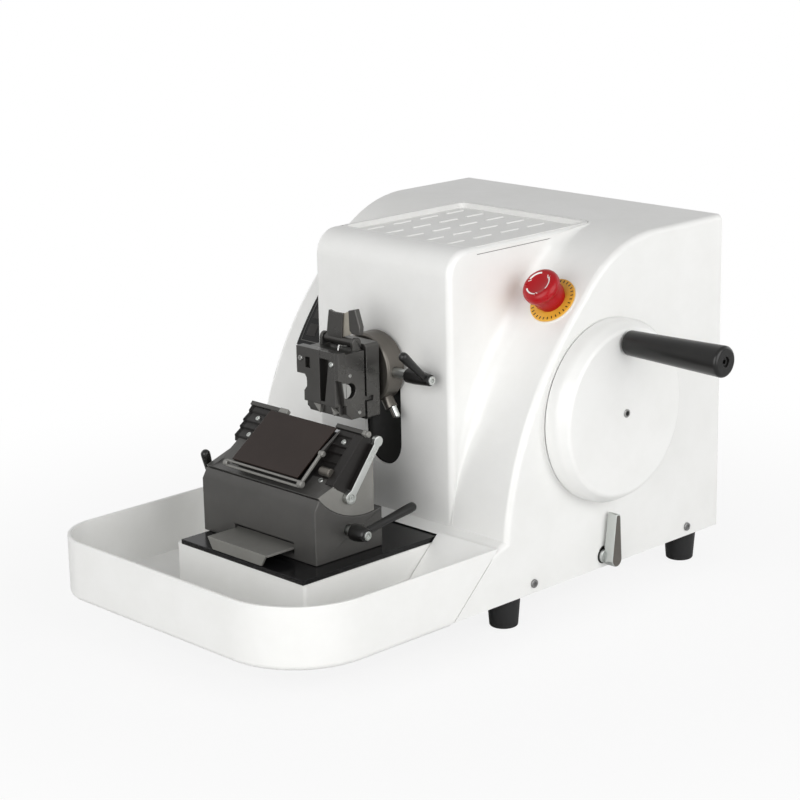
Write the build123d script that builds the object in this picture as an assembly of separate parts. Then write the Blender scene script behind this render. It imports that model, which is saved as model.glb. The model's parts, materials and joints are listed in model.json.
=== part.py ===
from build123d import *
from math import cos, radians, sin, sqrt
import os

os.makedirs("parts", exist_ok=True)

# A rotary microtome. X points to the handwheel side, -Y to the operator, +Z up; all sizes in millimetres.
# The place of the middle of the housing's width is x = 0, and the table is z = 0.

# Running and seating clearances
running_gap = 0.3
shaft_gap = 0.05
seam_gap = 0.6
hair_gap = 0.05

# Housing
half_width = 148
rear_y = 250
top_z = 300
skirt_z = 30
cover_wall = 3
shoulder_radius = 110
slope_angle = 46
slope_length = 33.4
sweep_end_angle = 84
kink_y = -13.5
kink_z = 79
ledge_y = -24
ledge_z = 75
toe_y = -72
cover_edge_radius = 5

# Hood between the wings
hood_x = 12
hood_half_width = 77
hood_round = 20
hood_side_round = 5
slot_width = 42
slot_bottom_z = 116
slot_top_above_head = 23

# Storage tray in the top of the hood
lid_front_y = 11
lid_length = 147
lid_half_width = 74
lid_depth = 7
lid_recess = 4.5
lid_rim = 4
lid_corner = 10
lid_ledge = 4
lid_ledge_thickness = 3
lid_rib_length = 20
lid_rib_width = 2
lid_rib_height = 1.2
lid_rib_columns = 6
lid_rib_rows = 4
lid_rib_margin = 12

# Waste tray
tray_front_y = -236
tray_top_z = 77
tray_bottom_z = 27
tray_wall = 3
tray_left_corner = 42
tray_right_corner = 68
tray_bottom_round = 5
tray_lip_height = 8

# Base casting with its pedestal
floor_thickness = 8
pedestal_left_x = -68
pedestal_right_x = 84
pedestal_front_y = -167
pedestal_top_z = 69.5
pedestal_wall = 8
pedestal_rear_y = -22

# Feet
foot_top_radius = 14
foot_bottom_radius = 11.5
foot_x = half_width - 24
foot_front_y = 8
foot_rear_y = 230
foot_round = 1.5

# Housing screws
screw_head_radius = 3.6
screw_head_height = 1.6
screw_shank_radius = 2
screw_shank_length = 3
screw_recess_radius = 1.5
screw_recess_depth = 1
screw_z = 38
side_screw_front_y = 17.5
side_screw_rear_y = 209
rear_screw_x = half_width - 14
rear_screw_low_z = 52
rear_screw_high_z = top_z - 18

# Control panel on the left wing
panel_left_x = 19 - half_width
panel_right_x = hood_x - hood_half_width - 9
panel_low_z = top_z - 113
panel_high_z = top_z - 32
panel_thickness = 1.2

# Emergency stop on the right wing
stop_x = half_width - 28
stop_slope_run = slope_length / 2 + 2.8
stop_pad_height = 0.8
stop_plate_radius = 20
stop_plate_thickness = 1.6
stop_pad_radius = 21
stop_pad_depth = 9
stop_bore_radius = 8
stop_stem_radius = 6.5
stop_stem_length = 14
stop_collar_radius = 10.5
stop_collar_height = 6
stop_head_radius = 15.5
stop_head_neck_radius = 12.5
stop_head_height = 13
stop_travel = 4
stop_body_radius = 14
stop_body_length = 30

# Handwheel, its crank and the main shaft
shaft_y = 103
shaft_z = 163.6
shaft_radius = 10
wheel_rear_gap = 2
wheel_thickness = 20
wheel_flat = 9
wheel_rear_radius = 74.5
wheel_front_radius = 68
wheel_round = 5
wheel_web = 7
wheel_screw_radius = 5
wheel_screw_height = 1.5
wheel_screw_length = 12
crank_radius = 58
grip_length = 96
grip_root_radius = 10
grip_end_radius = 12.5
grip_round = 3
grip_bore_radius = 4.1
grip_bolt_radius = 4
grip_recess_depth = 3
grip_gap = 1

# Drive frame with bearings, belt and motor
frame_left_x = 66
frame_right_x = half_width - 16
frame_plate = 8
frame_foot_front_y = 62
frame_foot_rear_y = 144
frame_foot_height = 8
frame_head_radius = 32
bearing_radius = 21
pulley_x = half_width - 36
pulley_width = 16
pulley_flange = 2
pulley_flange_height = 2.5
driven_groove_radius = 42
motor_groove_radius = 12
belt_thickness = 2
motor_y = 205
motor_z = 76
motor_radius = 31.5
motor_length = 85
motor_shaft_radius = 4
motor_stub = 2
motor_gap = 2
motor_nose_radius = 10
motor_round = 2
mount_plate = 4
mount_half_width = 33
mount_foot_length = 35

# Crank disc and yoke
crank_disc_x = 54
crank_disc_thickness = 8
crank_disc_radius = 26
counterweight_radius = 41
counterweight_drop = 4
throw = 30
pin_radius = 6
pin_boss_radius = 10
pin_gap = 0.5
yoke_left_x = 40
yoke_thickness = 8
yoke_half_height = 18
yoke_end_margin = 8
yoke_web = 1.5

# Slide frame, rails and vertical carriage
head_z = 200
carriage_front_y = 8
carriage_depth = 47
carriage_half_width = 40
carriage_half_height = 42
rail_thickness = 6
rail_depth = 20
upright_thickness = 12
upright_depth = 44
slide_foot_height = 8
slide_top_z = top_z - 14
slide_tie_height = 8
rail_bottom_z = 60
rail_top_z = slide_top_z - 10
arm_thickness = 8
arm_half_height = 21
motor_plate_y = 122
motor_plate_thickness = 6

# Feed ram, nut, screw and motor
ram_radius = 17
ram_front_y = -15
ram_rear_y = 95
ram_bore_radius = 7
ram_bore_front_y = 35
bush_radius = 21
bush_length = 12
nut_radius = 11
nut_length = 12
feed_screw_radius = 5
feed_screw_front_y = 42
feed_screw_chamfer = 0.6
feed_travel = 28
feed_motor_half = 21
feed_motor_length = 38
feed_motor_chamfer = 4

# Slot shutter
shutter_half_width = 34
shutter_bottom_z = 112
shutter_top_z = top_z - 17
shutter_thickness = 2
shutter_clearance = 1
shutter_collar_wall = 4

# Head drum and tilting ball
drum_radius = 28.5
drum_front_y = -33.3
drum_edge = 1.5
ball_y = -25.5
ball_radius = 10
ball_slot_half = 4
tongue_half_width = 4.5
tongue_pin_radius = 2
drum_screw_radius = 5
drum_screw_length = 9
drum_screw_angle = 35
drum_pin_radius = 2.2
drum_pin_length = 8

# Head lever, on a stud that leaves the drum's right side
head_lever_x = 68
head_lever_hub = 12
head_lever_hub_radius = 8
head_stud_radius = 4
head_stud_sunk = 6
head_handle_reach = 34
head_handle_angle = 131
handle_root_radius = 3.4
handle_end_radius = 4.2
hex_radius = 4
hex_height = 2
head_stud_clearance = 0.5

# Specimen clamp
clamp_front_y = -82
clamp_half_width = 23
clamp_rear_y = -38
back_plate_thickness = 14
back_plate_low_z = 165.5
back_plate_high_z = 226.5
back_plate_chamfer = 2
back_notch_z = 180.5
back_notch_size = [3, 7, 4]
waist_radius = 6
waist_set_back = 4
waist_depth = 8
waist_z = 192.5
clamp_groove = 2
clamp_groove_depth = 6
clamp_block_low_z = 168.8
clamp_block_high_z = 222.3
jaw_depth = 8
jaw_low_z = 171
jaw_high_z = 223
jaw_split_x = 9.5
jaw_window_width = 8
jaw_window_low_z = 183
jaw_window_high_z = 214
jaw_ear_depth = 8.5
jaw_ear_low_z = 204
jaw_step = 5.5
jaw_groove_depth = 5.5
jaw_screw_radius = 2.4
jaw_screw_depth = 1.5
clamp_chamfer = 5
clamp_lever_pivot_y = -58
clamp_lever_pivot_z = 228
clamp_lever_hub_radius = 4.5
clamp_lever_half_width = 16
clamp_lever_thickness = 5
clamp_lever_web = 2
clamp_lever_left_blade = [(-15.5, 0), (0.3, 0), (0.3, 22), (-1, 23.5), (-13, 23.5), (-16, 20)]
clamp_lever_right_blade = [(6.8, 0), (15, 0), (15.5, 5), (19, 13), (14, 26.5), (6.8, 27.5)]
clamp_lever_web_height = 19
clamp_pin_radius = 1.5
lug_thickness = 3
lug_half_depth = 4.5

# Knife plate and blade holder
holder_x = 1
plate_left_x = -61
plate_right_x = 83.5
plate_front_y = -168
plate_rear_y = -15.5
plate_thickness = 4
plate_chamfer = 4
key_half_width = 6
key_height = 4
key_end = 4
holder_half_width = 67
holder_front_y = -140
holder_rear_y = -70
holder_front_z = 117
holder_brow_y = -134.5
holder_brow_z = 126
holder_rear_z = 105.5
edge_y = -87
edge_z = 165.5
seat_radius = 62.3
seat_tail = 3
blade_slope = 36.2
blade_half_length = 40
blade_depth = 14
blade_thickness = 0.4
support_front = 0.5
support_depth = 52
support_thickness = 6
support_half_width = 61
support_wing_depth = 37
support_core_half_width = 47
support_screw_radius = 2.6
support_screw_height = 1.4
support_screw_depths = [11, 29]
support_seat = 0.7
rocker_radius = 62
rocker_half_width = 66
rocker_rear_y = -86
rocker_nose_z = 127
cheek_thickness = 5
cheek_rear_y = -77.5
cheek_high_z = 146.4
cheek_tip_y = -113
cheek_tip_z = 134.6

# Guard plate of dark glass, in a frame that hinges at its lower edge
glass_half_width = 38
glass_depth = 51
glass_thickness = 3
glass_lift = 1
guard_hinge_depth = 55
guard_hinge_radius = 2
guard_hinge_half_length = 45
guard_arm_width = 4
guard_arm_start = 17

# Finger guards
finger_left_inner = 22
finger_right_inner = 35
finger_outer = 60
finger_foot = 12
finger_front = 0.5
finger_rear = 4.5
finger_high = 4.5
finger_foot_depth = 6

# Levers on the holder
plate_lever_pivot_y = -136
plate_lever_pivot_z = 82.5
plate_lever_pin_radius = 1.5
plate_lever_pin_reach = 2.5
plate_lever_pocket = 4.5
plate_lever_sheet = 2
plate_lever_fold_y = -166
plate_lever_flange = 7.5
plate_lever_half = 35
plate_lever_tip_half = 29
plate_lever_x = 7
blade_lever_pivot_y = -105
blade_lever_pivot_z = 121
blade_lever_length = 49
blade_lever_angle = 52
blade_lever_thickness = 4
blade_lever_width = 9
blade_lever_hub_radius = 6
blade_lever_pin_radius = 2
blade_lever_pin_length = 4
arc_lever_y = -106
arc_lever_z = 95
arc_hub_radius = 7.5
arc_hub_length = 12
arc_stud_length = 6
arc_stud_radius = 4
arc_handle_reach = 56
arc_handle_angle = 9
shift_lever_y = -124
shift_lever_z = 108
shift_hub_radius = 5
shift_hub_length = 8
shift_handle_reach = 26
shift_handle_angle = 104
shift_stud_length = 2

# Wheel lock lever
lock_y = 101
lock_z = 43
lock_top_z = 77
lock_bottom_z = 31
lock_top_half = 7
lock_bottom_half = 11.5
lock_thickness = 5
lock_standoff = 7
lock_spindle_radius = 5
lock_spindle_sunk = 4
lock_boss_radius = 8
lock_low_corner = 6
lock_round = 2.5

# Rear panel and electrics
rear_panel_thickness = 3.5
inlet_x = 53 - half_width
inlet_z = 75
inlet_half_width = 25
inlet_half_height = 15
inlet_depth = 26
inlet_flange = 2
inlet_flange_rim = 3
inlet_socket_depth = 16
inlet_socket_half_width = 12
inlet_socket_half_height = 8.5
inlet_pin_length = 13
inlet_pin_half_width = 1
inlet_pin_half_height = 2
inlet_pins = [(-7, -1.5), (0, 2.5), (7, -1.5)]
switch_x = inlet_x
switch_z = 118
switch_half_width = 7
switch_half_height = 11
switch_depth = 8
switch_nose_half_height = 4
switch_dish = 2.5
switch_pin_radius = 1.2
switch_pin_reach = 2
supply_left_x = 8 - half_width
supply_right_x = supply_left_x + 74
supply_front_y = 120
supply_rear_y = 232
supply_height = 20
supply_chamfer = 2
board_left_x = 10 - half_width
board_right_x = board_left_x + 72
board_front_y = 10
board_rear_y = 108
board_thickness = 1.6
board_lift = 12
spacer_radius = 3
spacer_margin = 6
chip_size = 16
chip_height = 5
chip_margin = 15
chip_columns = 2
chip_rows = 3
chip_column_step = 24
chip_row_step = 28


def box(x_low, x_high, y_low, y_high, z_low, z_high):
    size = Box(x_high - x_low, y_high - y_low, z_high - z_low)
    return Pos((x_low + x_high) / 2, (y_low + y_high) / 2, (z_low + z_high) / 2) * size


def rod_x(x_low, x_high, y, z, radius):
    return Pos((x_low + x_high) / 2, y, z) * Rot(0, 90, 0) * Cylinder(radius, x_high - x_low)


def rod_y(y_low, y_high, x, z, radius):
    return Pos(x, (y_low + y_high) / 2, z) * Rot(90, 0, 0) * Cylinder(radius, y_high - y_low)


def rod_z(z_low, z_high, x, y, radius):
    return Pos(x, y, (z_low + z_high) / 2) * Cylinder(radius, z_high - z_low)


def taper(start, end, start_radius, end_radius):
    along = Vector(*end) - Vector(*start)
    place = Plane(origin=start, z_dir=along) * Pos(0, 0, along.length / 2)
    return place * Cone(start_radius, end_radius, along.length)


def hexagon_x(x_low, x_high, y, z, radius):
    return Plane.YZ.offset(x_low) * Pos(y, z) * extrude(RegularPolygon(radius, 6), amount=x_high - x_low)


# A flat outline in Y and Z, drawn out from one X to another
def side_prism(points, x_low, x_high):
    return extrude(Plane.YZ.offset(x_low) * make_face(Polyline(*points, close=True)), amount=x_high - x_low)


# The housing's side outline: flat top, round shoulder, slope, long sweep, small ledge and slanted toe.
# The sweep's radius and the shoulder's place follow from where the sweep has to end.
slope_sin, slope_cos = sin(radians(slope_angle)), cos(radians(slope_angle))
end_sin, end_cos = sin(radians(sweep_end_angle)), cos(radians(sweep_end_angle))
sweep_fall = top_z - kink_z - shoulder_radius * (1 - slope_cos) - slope_length * slope_sin
sweep_radius = sweep_fall / (slope_cos - end_cos)
sweep_centre = (kink_y + sweep_radius * end_sin, kink_z - sweep_radius * end_cos)
shoulder_y = sweep_centre[0] + (shoulder_radius - sweep_radius) * slope_sin + slope_length * slope_cos


def wing_face(inset=0.0):
    shoulder_centre = (shoulder_y, top_z - shoulder_radius)
    shoulder = CenterArc(shoulder_centre, shoulder_radius - inset, 90, slope_angle)
    sweep = CenterArc(sweep_centre, sweep_radius - inset, 90 + slope_angle, sweep_end_angle - slope_angle)
    toe_length = sqrt((ledge_y - toe_y) ** 2 + (ledge_z - skirt_z) ** 2)
    in_y = inset * (ledge_z - skirt_z) / toe_length
    in_z = inset * (ledge_y - toe_y) / toe_length
    rest = Polyline(sweep @ 1, (ledge_y + in_y, ledge_z - in_z), (toe_y + in_y, skirt_z - in_z),
                    (rear_y, skirt_z - in_z), (rear_y, top_z - inset), shoulder @ 0)
    return make_face(shoulder + Line(shoulder @ 1, sweep @ 0) + sweep + rest)


def wing_solid(x_low, x_high, inset=0.0):
    return extrude(Plane.YZ.offset(x_low) * wing_face(inset), amount=x_high - x_low)


def hood_solid(inset):
    low_z = tray_top_z - cover_wall
    hood = box(hood_x - hood_half_width + inset, hood_x + hood_half_width - inset,
               hood_front_y + inset, shoulder_y + 20, low_z, top_z - inset)
    front_top = hood.edges().filter_by(Axis.X).sort_by(Axis.Z)[-2:].sort_by(Axis.Y)[0]
    hood = fillet(front_top, hood_round - inset)
    sides = hood.edges().filter_by(Axis.Z).group_by(Axis.Y)[0]
    return fillet(sides, max(hood_side_round - inset, 1))


# The stop button's own frame: its Z leaves the middle of the right wing's straight slope
stop_y = shoulder_y - shoulder_radius * slope_sin - stop_slope_run * slope_cos
stop_z = top_z - shoulder_radius * (1 - slope_cos) - stop_slope_run * slope_sin
stop_place = Plane(origin=(stop_x, stop_y, stop_z), x_dir=(1, 0, 0), z_dir=(0, -slope_sin, slope_cos))
stop_plane = stop_place.offset(stop_pad_height)


def on_stop(low, high, radius):
    return stop_plane * Pos(0, 0, (low + high) / 2) * Cylinder(radius, high - low)


hood_front_y = kink_y
floor_top_z = skirt_z + floor_thickness
slot_top_z = head_z + slot_top_above_head
lid_left_x = hood_x - lid_half_width
lid_right_x = hood_x + lid_half_width
lid_rear_y = lid_front_y + lid_length
lid_low_z = top_z - lid_depth
inner_half = half_width - cover_wall
inner_rear_y = rear_y - cover_wall
plate_top_z = pedestal_top_z + plate_thickness
side_screws = [(side, y) for side in (-1, 1) for y in (side_screw_front_y, side_screw_rear_y)]
rear_screws = [(side * rear_screw_x, z) for side in (-1, 1) for z in (rear_screw_low_z, rear_screw_high_z)]


# The wings with their rounded rims, and the hood between them
def cover_outside():
    wings = wing_solid(-half_width, half_width)
    rims = wings.edges().filter_by(lambda edge: abs(edge.center().X) > inner_half)
    rims = rims.filter_by(lambda edge: edge.center().Y < inner_rear_y and edge.center().Z > ledge_z)
    return fillet(rims, cover_edge_radius) + hood_solid(0)


def main_cover():
    shell = cover_outside()
    hollow = wing_solid(-inner_half, inner_half, cover_wall) + hood_solid(cover_wall)
    hollow += box(-inner_half, inner_half, toe_y + 2 * cover_wall, rear_y - cover_wall, skirt_z - 1,
                  floor_top_z)
    hollow += box(-inner_half, inner_half, shoulder_y, rear_y + 1, skirt_z - 1, top_z - cover_wall)
    shell += on_stop(-stop_pad_depth, 0, stop_pad_radius)
    shell -= hollow - on_stop(-stop_pad_depth, 0, stop_pad_radius)
    ledge = box(lid_left_x - cover_wall, lid_right_x + cover_wall, lid_front_y - cover_wall,
                lid_rear_y + cover_wall, lid_low_z - lid_ledge_thickness, lid_low_z)
    wall = box(lid_left_x - cover_wall, lid_right_x + cover_wall, lid_front_y - cover_wall,
               lid_rear_y + cover_wall, lid_low_z, top_z - cover_wall)
    shell += ledge + wall
    shell -= box(lid_left_x + lid_ledge, lid_right_x - lid_ledge, lid_front_y + lid_ledge,
                 lid_rear_y - lid_ledge, lid_low_z - lid_ledge_thickness - 1, lid_low_z)
    opening = box(lid_left_x - seam_gap, lid_right_x + seam_gap, lid_front_y - seam_gap,
                  lid_rear_y + seam_gap, lid_low_z, top_z + 1)
    shell -= fillet(opening.edges().filter_by(Axis.Z), lid_corner)
    slot_round = slot_width / 2
    slot = box(hood_x - slot_round, hood_x + slot_round, hood_front_y - 1, hood_front_y + cover_wall + 1,
               slot_bottom_z + slot_round, slot_top_z - slot_round)
    for z in (slot_bottom_z + slot_round, slot_top_z - slot_round):
        slot += rod_y(hood_front_y - 1, hood_front_y + cover_wall + 1, hood_x, z, slot_round)
    shell -= slot
    shell -= box(pedestal_left_x - seam_gap, max(pedestal_right_x, plate_right_x) + seam_gap,
                 toe_y - cover_wall, hood_front_y + 2 * cover_wall, skirt_z - 1, plate_top_z + 1)
    shell -= on_stop(-stop_pad_depth - cover_wall, 1, stop_bore_radius)
    shell -= rod_x(inner_half - 1, half_width + 1, shaft_y, shaft_z, shaft_radius + 2)
    shell -= rod_x(inner_half - 1, half_width + 1, lock_y, lock_z, lock_spindle_radius + shaft_gap)
    for side, y in side_screws:
        shell -= rod_x(side * (half_width - screw_shank_length) - 1,
                       side * (half_width - screw_shank_length) + 1, y, screw_z, screw_shank_radius)
        shell -= rod_x(side * half_width - screw_shank_length, side * half_width + screw_shank_length,
                       y, screw_z, screw_shank_radius)
    return shell


def base_casting():
    floor = box(-inner_half + hair_gap, inner_half - hair_gap, pedestal_rear_y,
                rear_y - rear_panel_thickness - seam_gap, skirt_z, floor_top_z)
    pedestal = box(pedestal_left_x, pedestal_right_x, pedestal_front_y, pedestal_rear_y, skirt_z,
                   pedestal_top_z)
    pedestal = fillet(pedestal.edges().filter_by(Axis.Z).group_by(Axis.Y)[0], cover_wall)
    pedestal -= box(pedestal_left_x + pedestal_wall, pedestal_right_x - pedestal_wall,
                    pedestal_front_y + pedestal_wall, pedestal_rear_y - pedestal_wall, skirt_z - 1,
                    pedestal_top_z - pedestal_wall)
    floor += pedestal
    floor -= box(inner_half - 3 * cover_wall, inner_half, lock_y - lock_bottom_half,
                 lock_y + lock_bottom_half, lock_z - lock_spindle_radius - 2, floor_top_z + 1)
    for side, y in side_screws:
        floor -= rod_x(side * inner_half - screw_shank_length, side * inner_half + screw_shank_length,
                       y, screw_z, screw_shank_radius)
    return floor


def feet():
    solids = []
    for side in (-1, 1):
        for y in (foot_front_y, foot_rear_y):
            foot = Pos(side * foot_x, y, skirt_z / 2) * Cone(foot_bottom_radius, foot_top_radius, skirt_z)
            solids.append(fillet(foot.edges().filter_by(GeomType.CIRCLE).sort_by(Axis.Z)[0], foot_round))
    return Compound(solids)


def screw(place):
    head = Cylinder(screw_head_radius, screw_head_height, align=(Align.CENTER, Align.CENTER, Align.MIN))
    head = fillet(head.edges().sort_by(Axis.Z)[-1], screw_head_height / 2)
    shank = Pos(0, 0, -screw_shank_length) * Cylinder(
        screw_shank_radius, screw_shank_length, align=(Align.CENTER, Align.CENTER, Align.MIN))
    recess = Pos(0, 0, screw_head_height - screw_recess_depth) * extrude(
        RegularPolygon(screw_recess_radius, 6), amount=screw_recess_depth + 1)
    return place * (head + shank - recess)


def housing_screws():
    solids = []
    for side, y in side_screws:
        solids.append(screw(Plane(origin=(side * half_width, y, screw_z), z_dir=(side, 0, 0))))
    rear_face = rear_y - seam_gap
    solids += [screw(Plane(origin=(x, rear_face, z), z_dir=(0, 1, 0))) for x, z in rear_screws]
    return Compound(solids)


def rear_panel():
    low_y = rear_y - seam_gap - rear_panel_thickness
    panel = box(-inner_half + hair_gap, inner_half - hair_gap, low_y, rear_y - seam_gap,
                skirt_z, top_z - cover_wall - hair_gap)
    panel -= box(inlet_x - inlet_half_width, inlet_x + inlet_half_width, low_y - 1, rear_y,
                 inlet_z - inlet_half_height, inlet_z + inlet_half_height)
    panel -= box(switch_x - switch_half_width - running_gap, switch_x + switch_half_width + running_gap,
                 low_y - 1, rear_y, switch_z - switch_half_height - 2, switch_z + switch_half_height + 2)
    pin_end = switch_half_width + switch_pin_reach + running_gap
    panel -= rod_x(switch_x - pin_end, switch_x + pin_end, low_y + rear_panel_thickness / 2, switch_z,
                   switch_pin_radius + shaft_gap)
    for x, z in rear_screws:
        panel -= rod_y(low_y - 1, rear_y, x, z, screw_shank_radius)
    return panel


def storage_tray():
    tray = box(lid_left_x, lid_right_x, lid_front_y, lid_rear_y, lid_low_z, top_z)
    tray = fillet(tray.edges().filter_by(Axis.Z), lid_corner - seam_gap)
    recess = box(lid_left_x + lid_rim, lid_right_x - lid_rim, lid_front_y + lid_rim, lid_rear_y - lid_rim,
                 top_z - lid_recess, top_z + 1)
    tray -= fillet(recess.edges().filter_by(Axis.Z), lid_corner - lid_rim)
    across = 2 * (lid_half_width - lid_rim - lid_rib_margin)
    along = lid_length - 2 * (lid_rim + lid_rib_margin) - lid_rib_length
    for column in range(lid_rib_columns):
        x = hood_x - across / 2 + across * column / (lid_rib_columns - 1)
        for row in range(lid_rib_rows):
            y = lid_front_y + lid_rim + lid_rib_margin + along * row / (lid_rib_rows - 1)
            tray += box(x - lid_rib_width / 2, x + lid_rib_width / 2, y, y + lid_rib_length,
                        top_z - lid_recess - 1, top_z - lid_recess + lid_rib_height)
    return tray


# The space behind the tray, in front of which its ends lie along the housing's slanted toe
def behind_tray(inset):
    slope = (ledge_y - toe_y) / (ledge_z - skirt_z)
    low_z = tray_bottom_z - 1
    high_z = tray_top_z + 1
    low_y = toe_y - seam_gap - inset + slope * (low_z - skirt_z)
    high_y = toe_y - seam_gap - inset + slope * (high_z - skirt_z)
    corners = [(low_y, low_z), (high_y, high_z), (rear_y + 1, high_z), (rear_y + 1, low_z)]
    return side_prism(corners, -half_width - 1, half_width + 1)


def tray_body(inset, low_z, high_z):
    body = box(-half_width + inset, half_width - inset, tray_front_y + inset, rear_y, low_z, high_z)
    corners = body.edges().filter_by(Axis.Z).group_by(Axis.Y)[0].sort_by(Axis.X)
    body = fillet(corners[0], tray_left_corner - inset)
    right = body.edges().filter_by(Axis.Z).sort_by(Axis.X)[-2:].sort_by(Axis.Y)[0]
    body = fillet(right, tray_right_corner - inset)
    return body - behind_tray(inset)


def waste_tray():
    tray = tray_body(0, tray_bottom_z, tray_top_z)
    bottom = tray.edges().group_by(Axis.Z)[0].filter_by(lambda edge: edge.center().Y < toe_y - 3 * tray_wall)
    tray = fillet(bottom, tray_bottom_round)
    tray -= tray_body(tray_wall, tray_bottom_z + tray_wall, tray_top_z + 1)
    hole_right = max(pedestal_right_x, plate_right_x) + seam_gap
    lip = box(pedestal_left_x - seam_gap - tray_wall, hole_right + tray_wall,
              pedestal_front_y - seam_gap - tray_wall, toe_y, tray_bottom_z, tray_bottom_z + tray_lip_height)
    tray += lip - behind_tray(0)
    tray -= box(pedestal_left_x - seam_gap, hole_right, pedestal_front_y - seam_gap, rear_y,
                tray_bottom_z - 1, tray_top_z + 1)
    return tray


def control_panel():
    outer = wing_solid(panel_left_x, panel_right_x, -panel_thickness)
    outer -= wing_solid(panel_left_x - 1, panel_right_x + 1)
    return outer & box(panel_left_x, panel_right_x, kink_y, shoulder_y, panel_low_z, panel_high_z)


def stop_plate():
    plate = on_stop(hair_gap, stop_plate_thickness, stop_plate_radius)
    return plate - on_stop(0, stop_plate_thickness + 1, stop_bore_radius)


def stop_body():
    collar = on_stop(stop_plate_thickness + hair_gap, stop_plate_thickness + stop_collar_height,
                     stop_collar_radius)
    tube = on_stop(-stop_pad_depth - hair_gap, stop_plate_thickness + hair_gap, stop_bore_radius - shaft_gap)
    contact = on_stop(-stop_pad_depth - stop_body_length, -stop_pad_depth - hair_gap, stop_body_radius)
    body = collar + tube + contact
    floor = stop_plate_thickness + stop_collar_height - stop_stem_length - stop_travel - 1
    return body - on_stop(floor, stop_plate_thickness + stop_collar_height + 1, stop_stem_radius + shaft_gap)


stop_top = stop_plate_thickness + stop_collar_height + stop_travel + running_gap


def stop_stem():
    return on_stop(stop_top - stop_travel - stop_stem_length + running_gap, stop_top, stop_stem_radius)


def stop_head():
    neck = on_stop(stop_top + shaft_gap, stop_top + stop_head_height / 2, stop_head_neck_radius)
    cap = on_stop(stop_top + stop_head_height / 3, stop_top + stop_head_height, stop_head_radius)
    outer_edges = cap.edges().filter_by(GeomType.CIRCLE).sort_by(lambda e: e.center().Z)
    cap = fillet(outer_edges[-1], stop_head_height / 3)
    return neck + cap


wheel_front_x = half_width + wheel_rear_gap + wheel_thickness


def handwheel():
    rear_x = half_width + wheel_rear_gap
    flat_x = rear_x + wheel_flat
    web_x = wheel_front_x - wheel_web
    grip_z = shaft_z + crank_radius
    wheel = rod_x(rear_x, flat_x, shaft_y, shaft_z, wheel_rear_radius)
    wheel += taper((flat_x, shaft_y, shaft_z), (wheel_front_x, shaft_y, shaft_z),
                   wheel_rear_radius, wheel_front_radius)
    wheel = fillet(wheel.edges().filter_by(GeomType.CIRCLE).sort_by(Axis.X)[-1], wheel_round)
    wheel -= rod_x(rear_x - 1, web_x, shaft_y, shaft_z, shaft_radius)
    wheel -= rod_x(rear_x - 1, wheel_front_x + 1, shaft_y, shaft_z, wheel_screw_radius / 2)
    return wheel - rod_x(web_x - grip_recess_depth, wheel_front_x + 1, shaft_y, grip_z, grip_bolt_radius)


def wheel_screw():
    top_x = wheel_front_x + wheel_screw_height
    screw_end = wheel_front_x - wheel_web - wheel_screw_length
    head = rod_x(wheel_front_x, top_x, shaft_y, shaft_z, wheel_screw_radius)
    head += rod_x(screw_end, wheel_front_x, shaft_y, shaft_z, wheel_screw_radius / 2)
    return head - hexagon_x(wheel_front_x, top_x + 1, shaft_y, shaft_z, wheel_screw_radius / 2)


def grip_bolt():
    y, z = shaft_y, shaft_z + crank_radius
    end_x = wheel_front_x + grip_gap + grip_length - grip_recess_depth / 2
    bolt = rod_x(wheel_front_x - wheel_web - grip_recess_depth, end_x, y, z, grip_bolt_radius)
    return bolt - hexagon_x(end_x - grip_recess_depth, end_x, y, z, grip_bolt_radius / 2)


def crank_grip():
    y, z = shaft_y, shaft_z + crank_radius
    start = wheel_front_x + grip_gap
    grip = taper((start, y, z), (start + grip_length, y, z), grip_root_radius, grip_end_radius)
    grip = fillet(grip.edges().filter_by(GeomType.CIRCLE), grip_round)
    return grip - rod_x(start - 1, start + grip_length + 1, y, z, grip_bore_radius)


def main_shaft():
    left = crank_disc_x + crank_disc_thickness / 2
    shaft = rod_x(left, wheel_front_x - wheel_web, shaft_y, shaft_z, shaft_radius)
    screw_end = wheel_front_x - wheel_web - wheel_screw_length
    return shaft - rod_x(screw_end, wheel_front_x, shaft_y, shaft_z, wheel_screw_radius / 2)


def shaft_bearings():
    rings = []
    for x in (frame_left_x, frame_right_x):
        ring = rod_x(x, x + frame_plate, shaft_y, shaft_z, bearing_radius)
        rings.append(ring - rod_x(x - 1, x + frame_plate + 1, shaft_y, shaft_z, shaft_radius + shaft_gap))
    return Compound(rings)


def drive_frame():
    frame = box(frame_left_x, frame_right_x + frame_plate, frame_foot_front_y, frame_foot_rear_y,
                floor_top_z, floor_top_z + frame_foot_height)
    for x in (frame_left_x, frame_right_x):
        plate = side_prism([(frame_foot_front_y, floor_top_z), (frame_foot_rear_y, floor_top_z),
                            (shaft_y + frame_head_radius, shaft_z), (shaft_y - frame_head_radius, shaft_z)],
                           x, x + frame_plate)
        plate += rod_x(x, x + frame_plate, shaft_y, shaft_z, frame_head_radius)
        frame += plate - rod_x(x - 1, x + frame_plate + 1, shaft_y, shaft_z, bearing_radius)
    return frame


def pulley(y, z, groove_radius):
    right = pulley_x + pulley_width
    groove = rod_x(pulley_x + pulley_flange, right - pulley_flange, y, z,
                   groove_radius + 2 * pulley_flange_height)
    groove -= rod_x(pulley_x, right, y, z, groove_radius)
    return rod_x(pulley_x, right, y, z, groove_radius + pulley_flange_height) - groove


def driven_pulley():
    bore = rod_x(pulley_x - 1, pulley_x + pulley_width + 1, shaft_y, shaft_z, shaft_radius)
    return pulley(shaft_y, shaft_z, driven_groove_radius) - bore


def motor_pulley():
    stub = rod_x(pulley_x - motor_stub, pulley_x + 1, motor_y, motor_z, motor_shaft_radius)
    return pulley(motor_y, motor_z, motor_groove_radius) + stub



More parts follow.
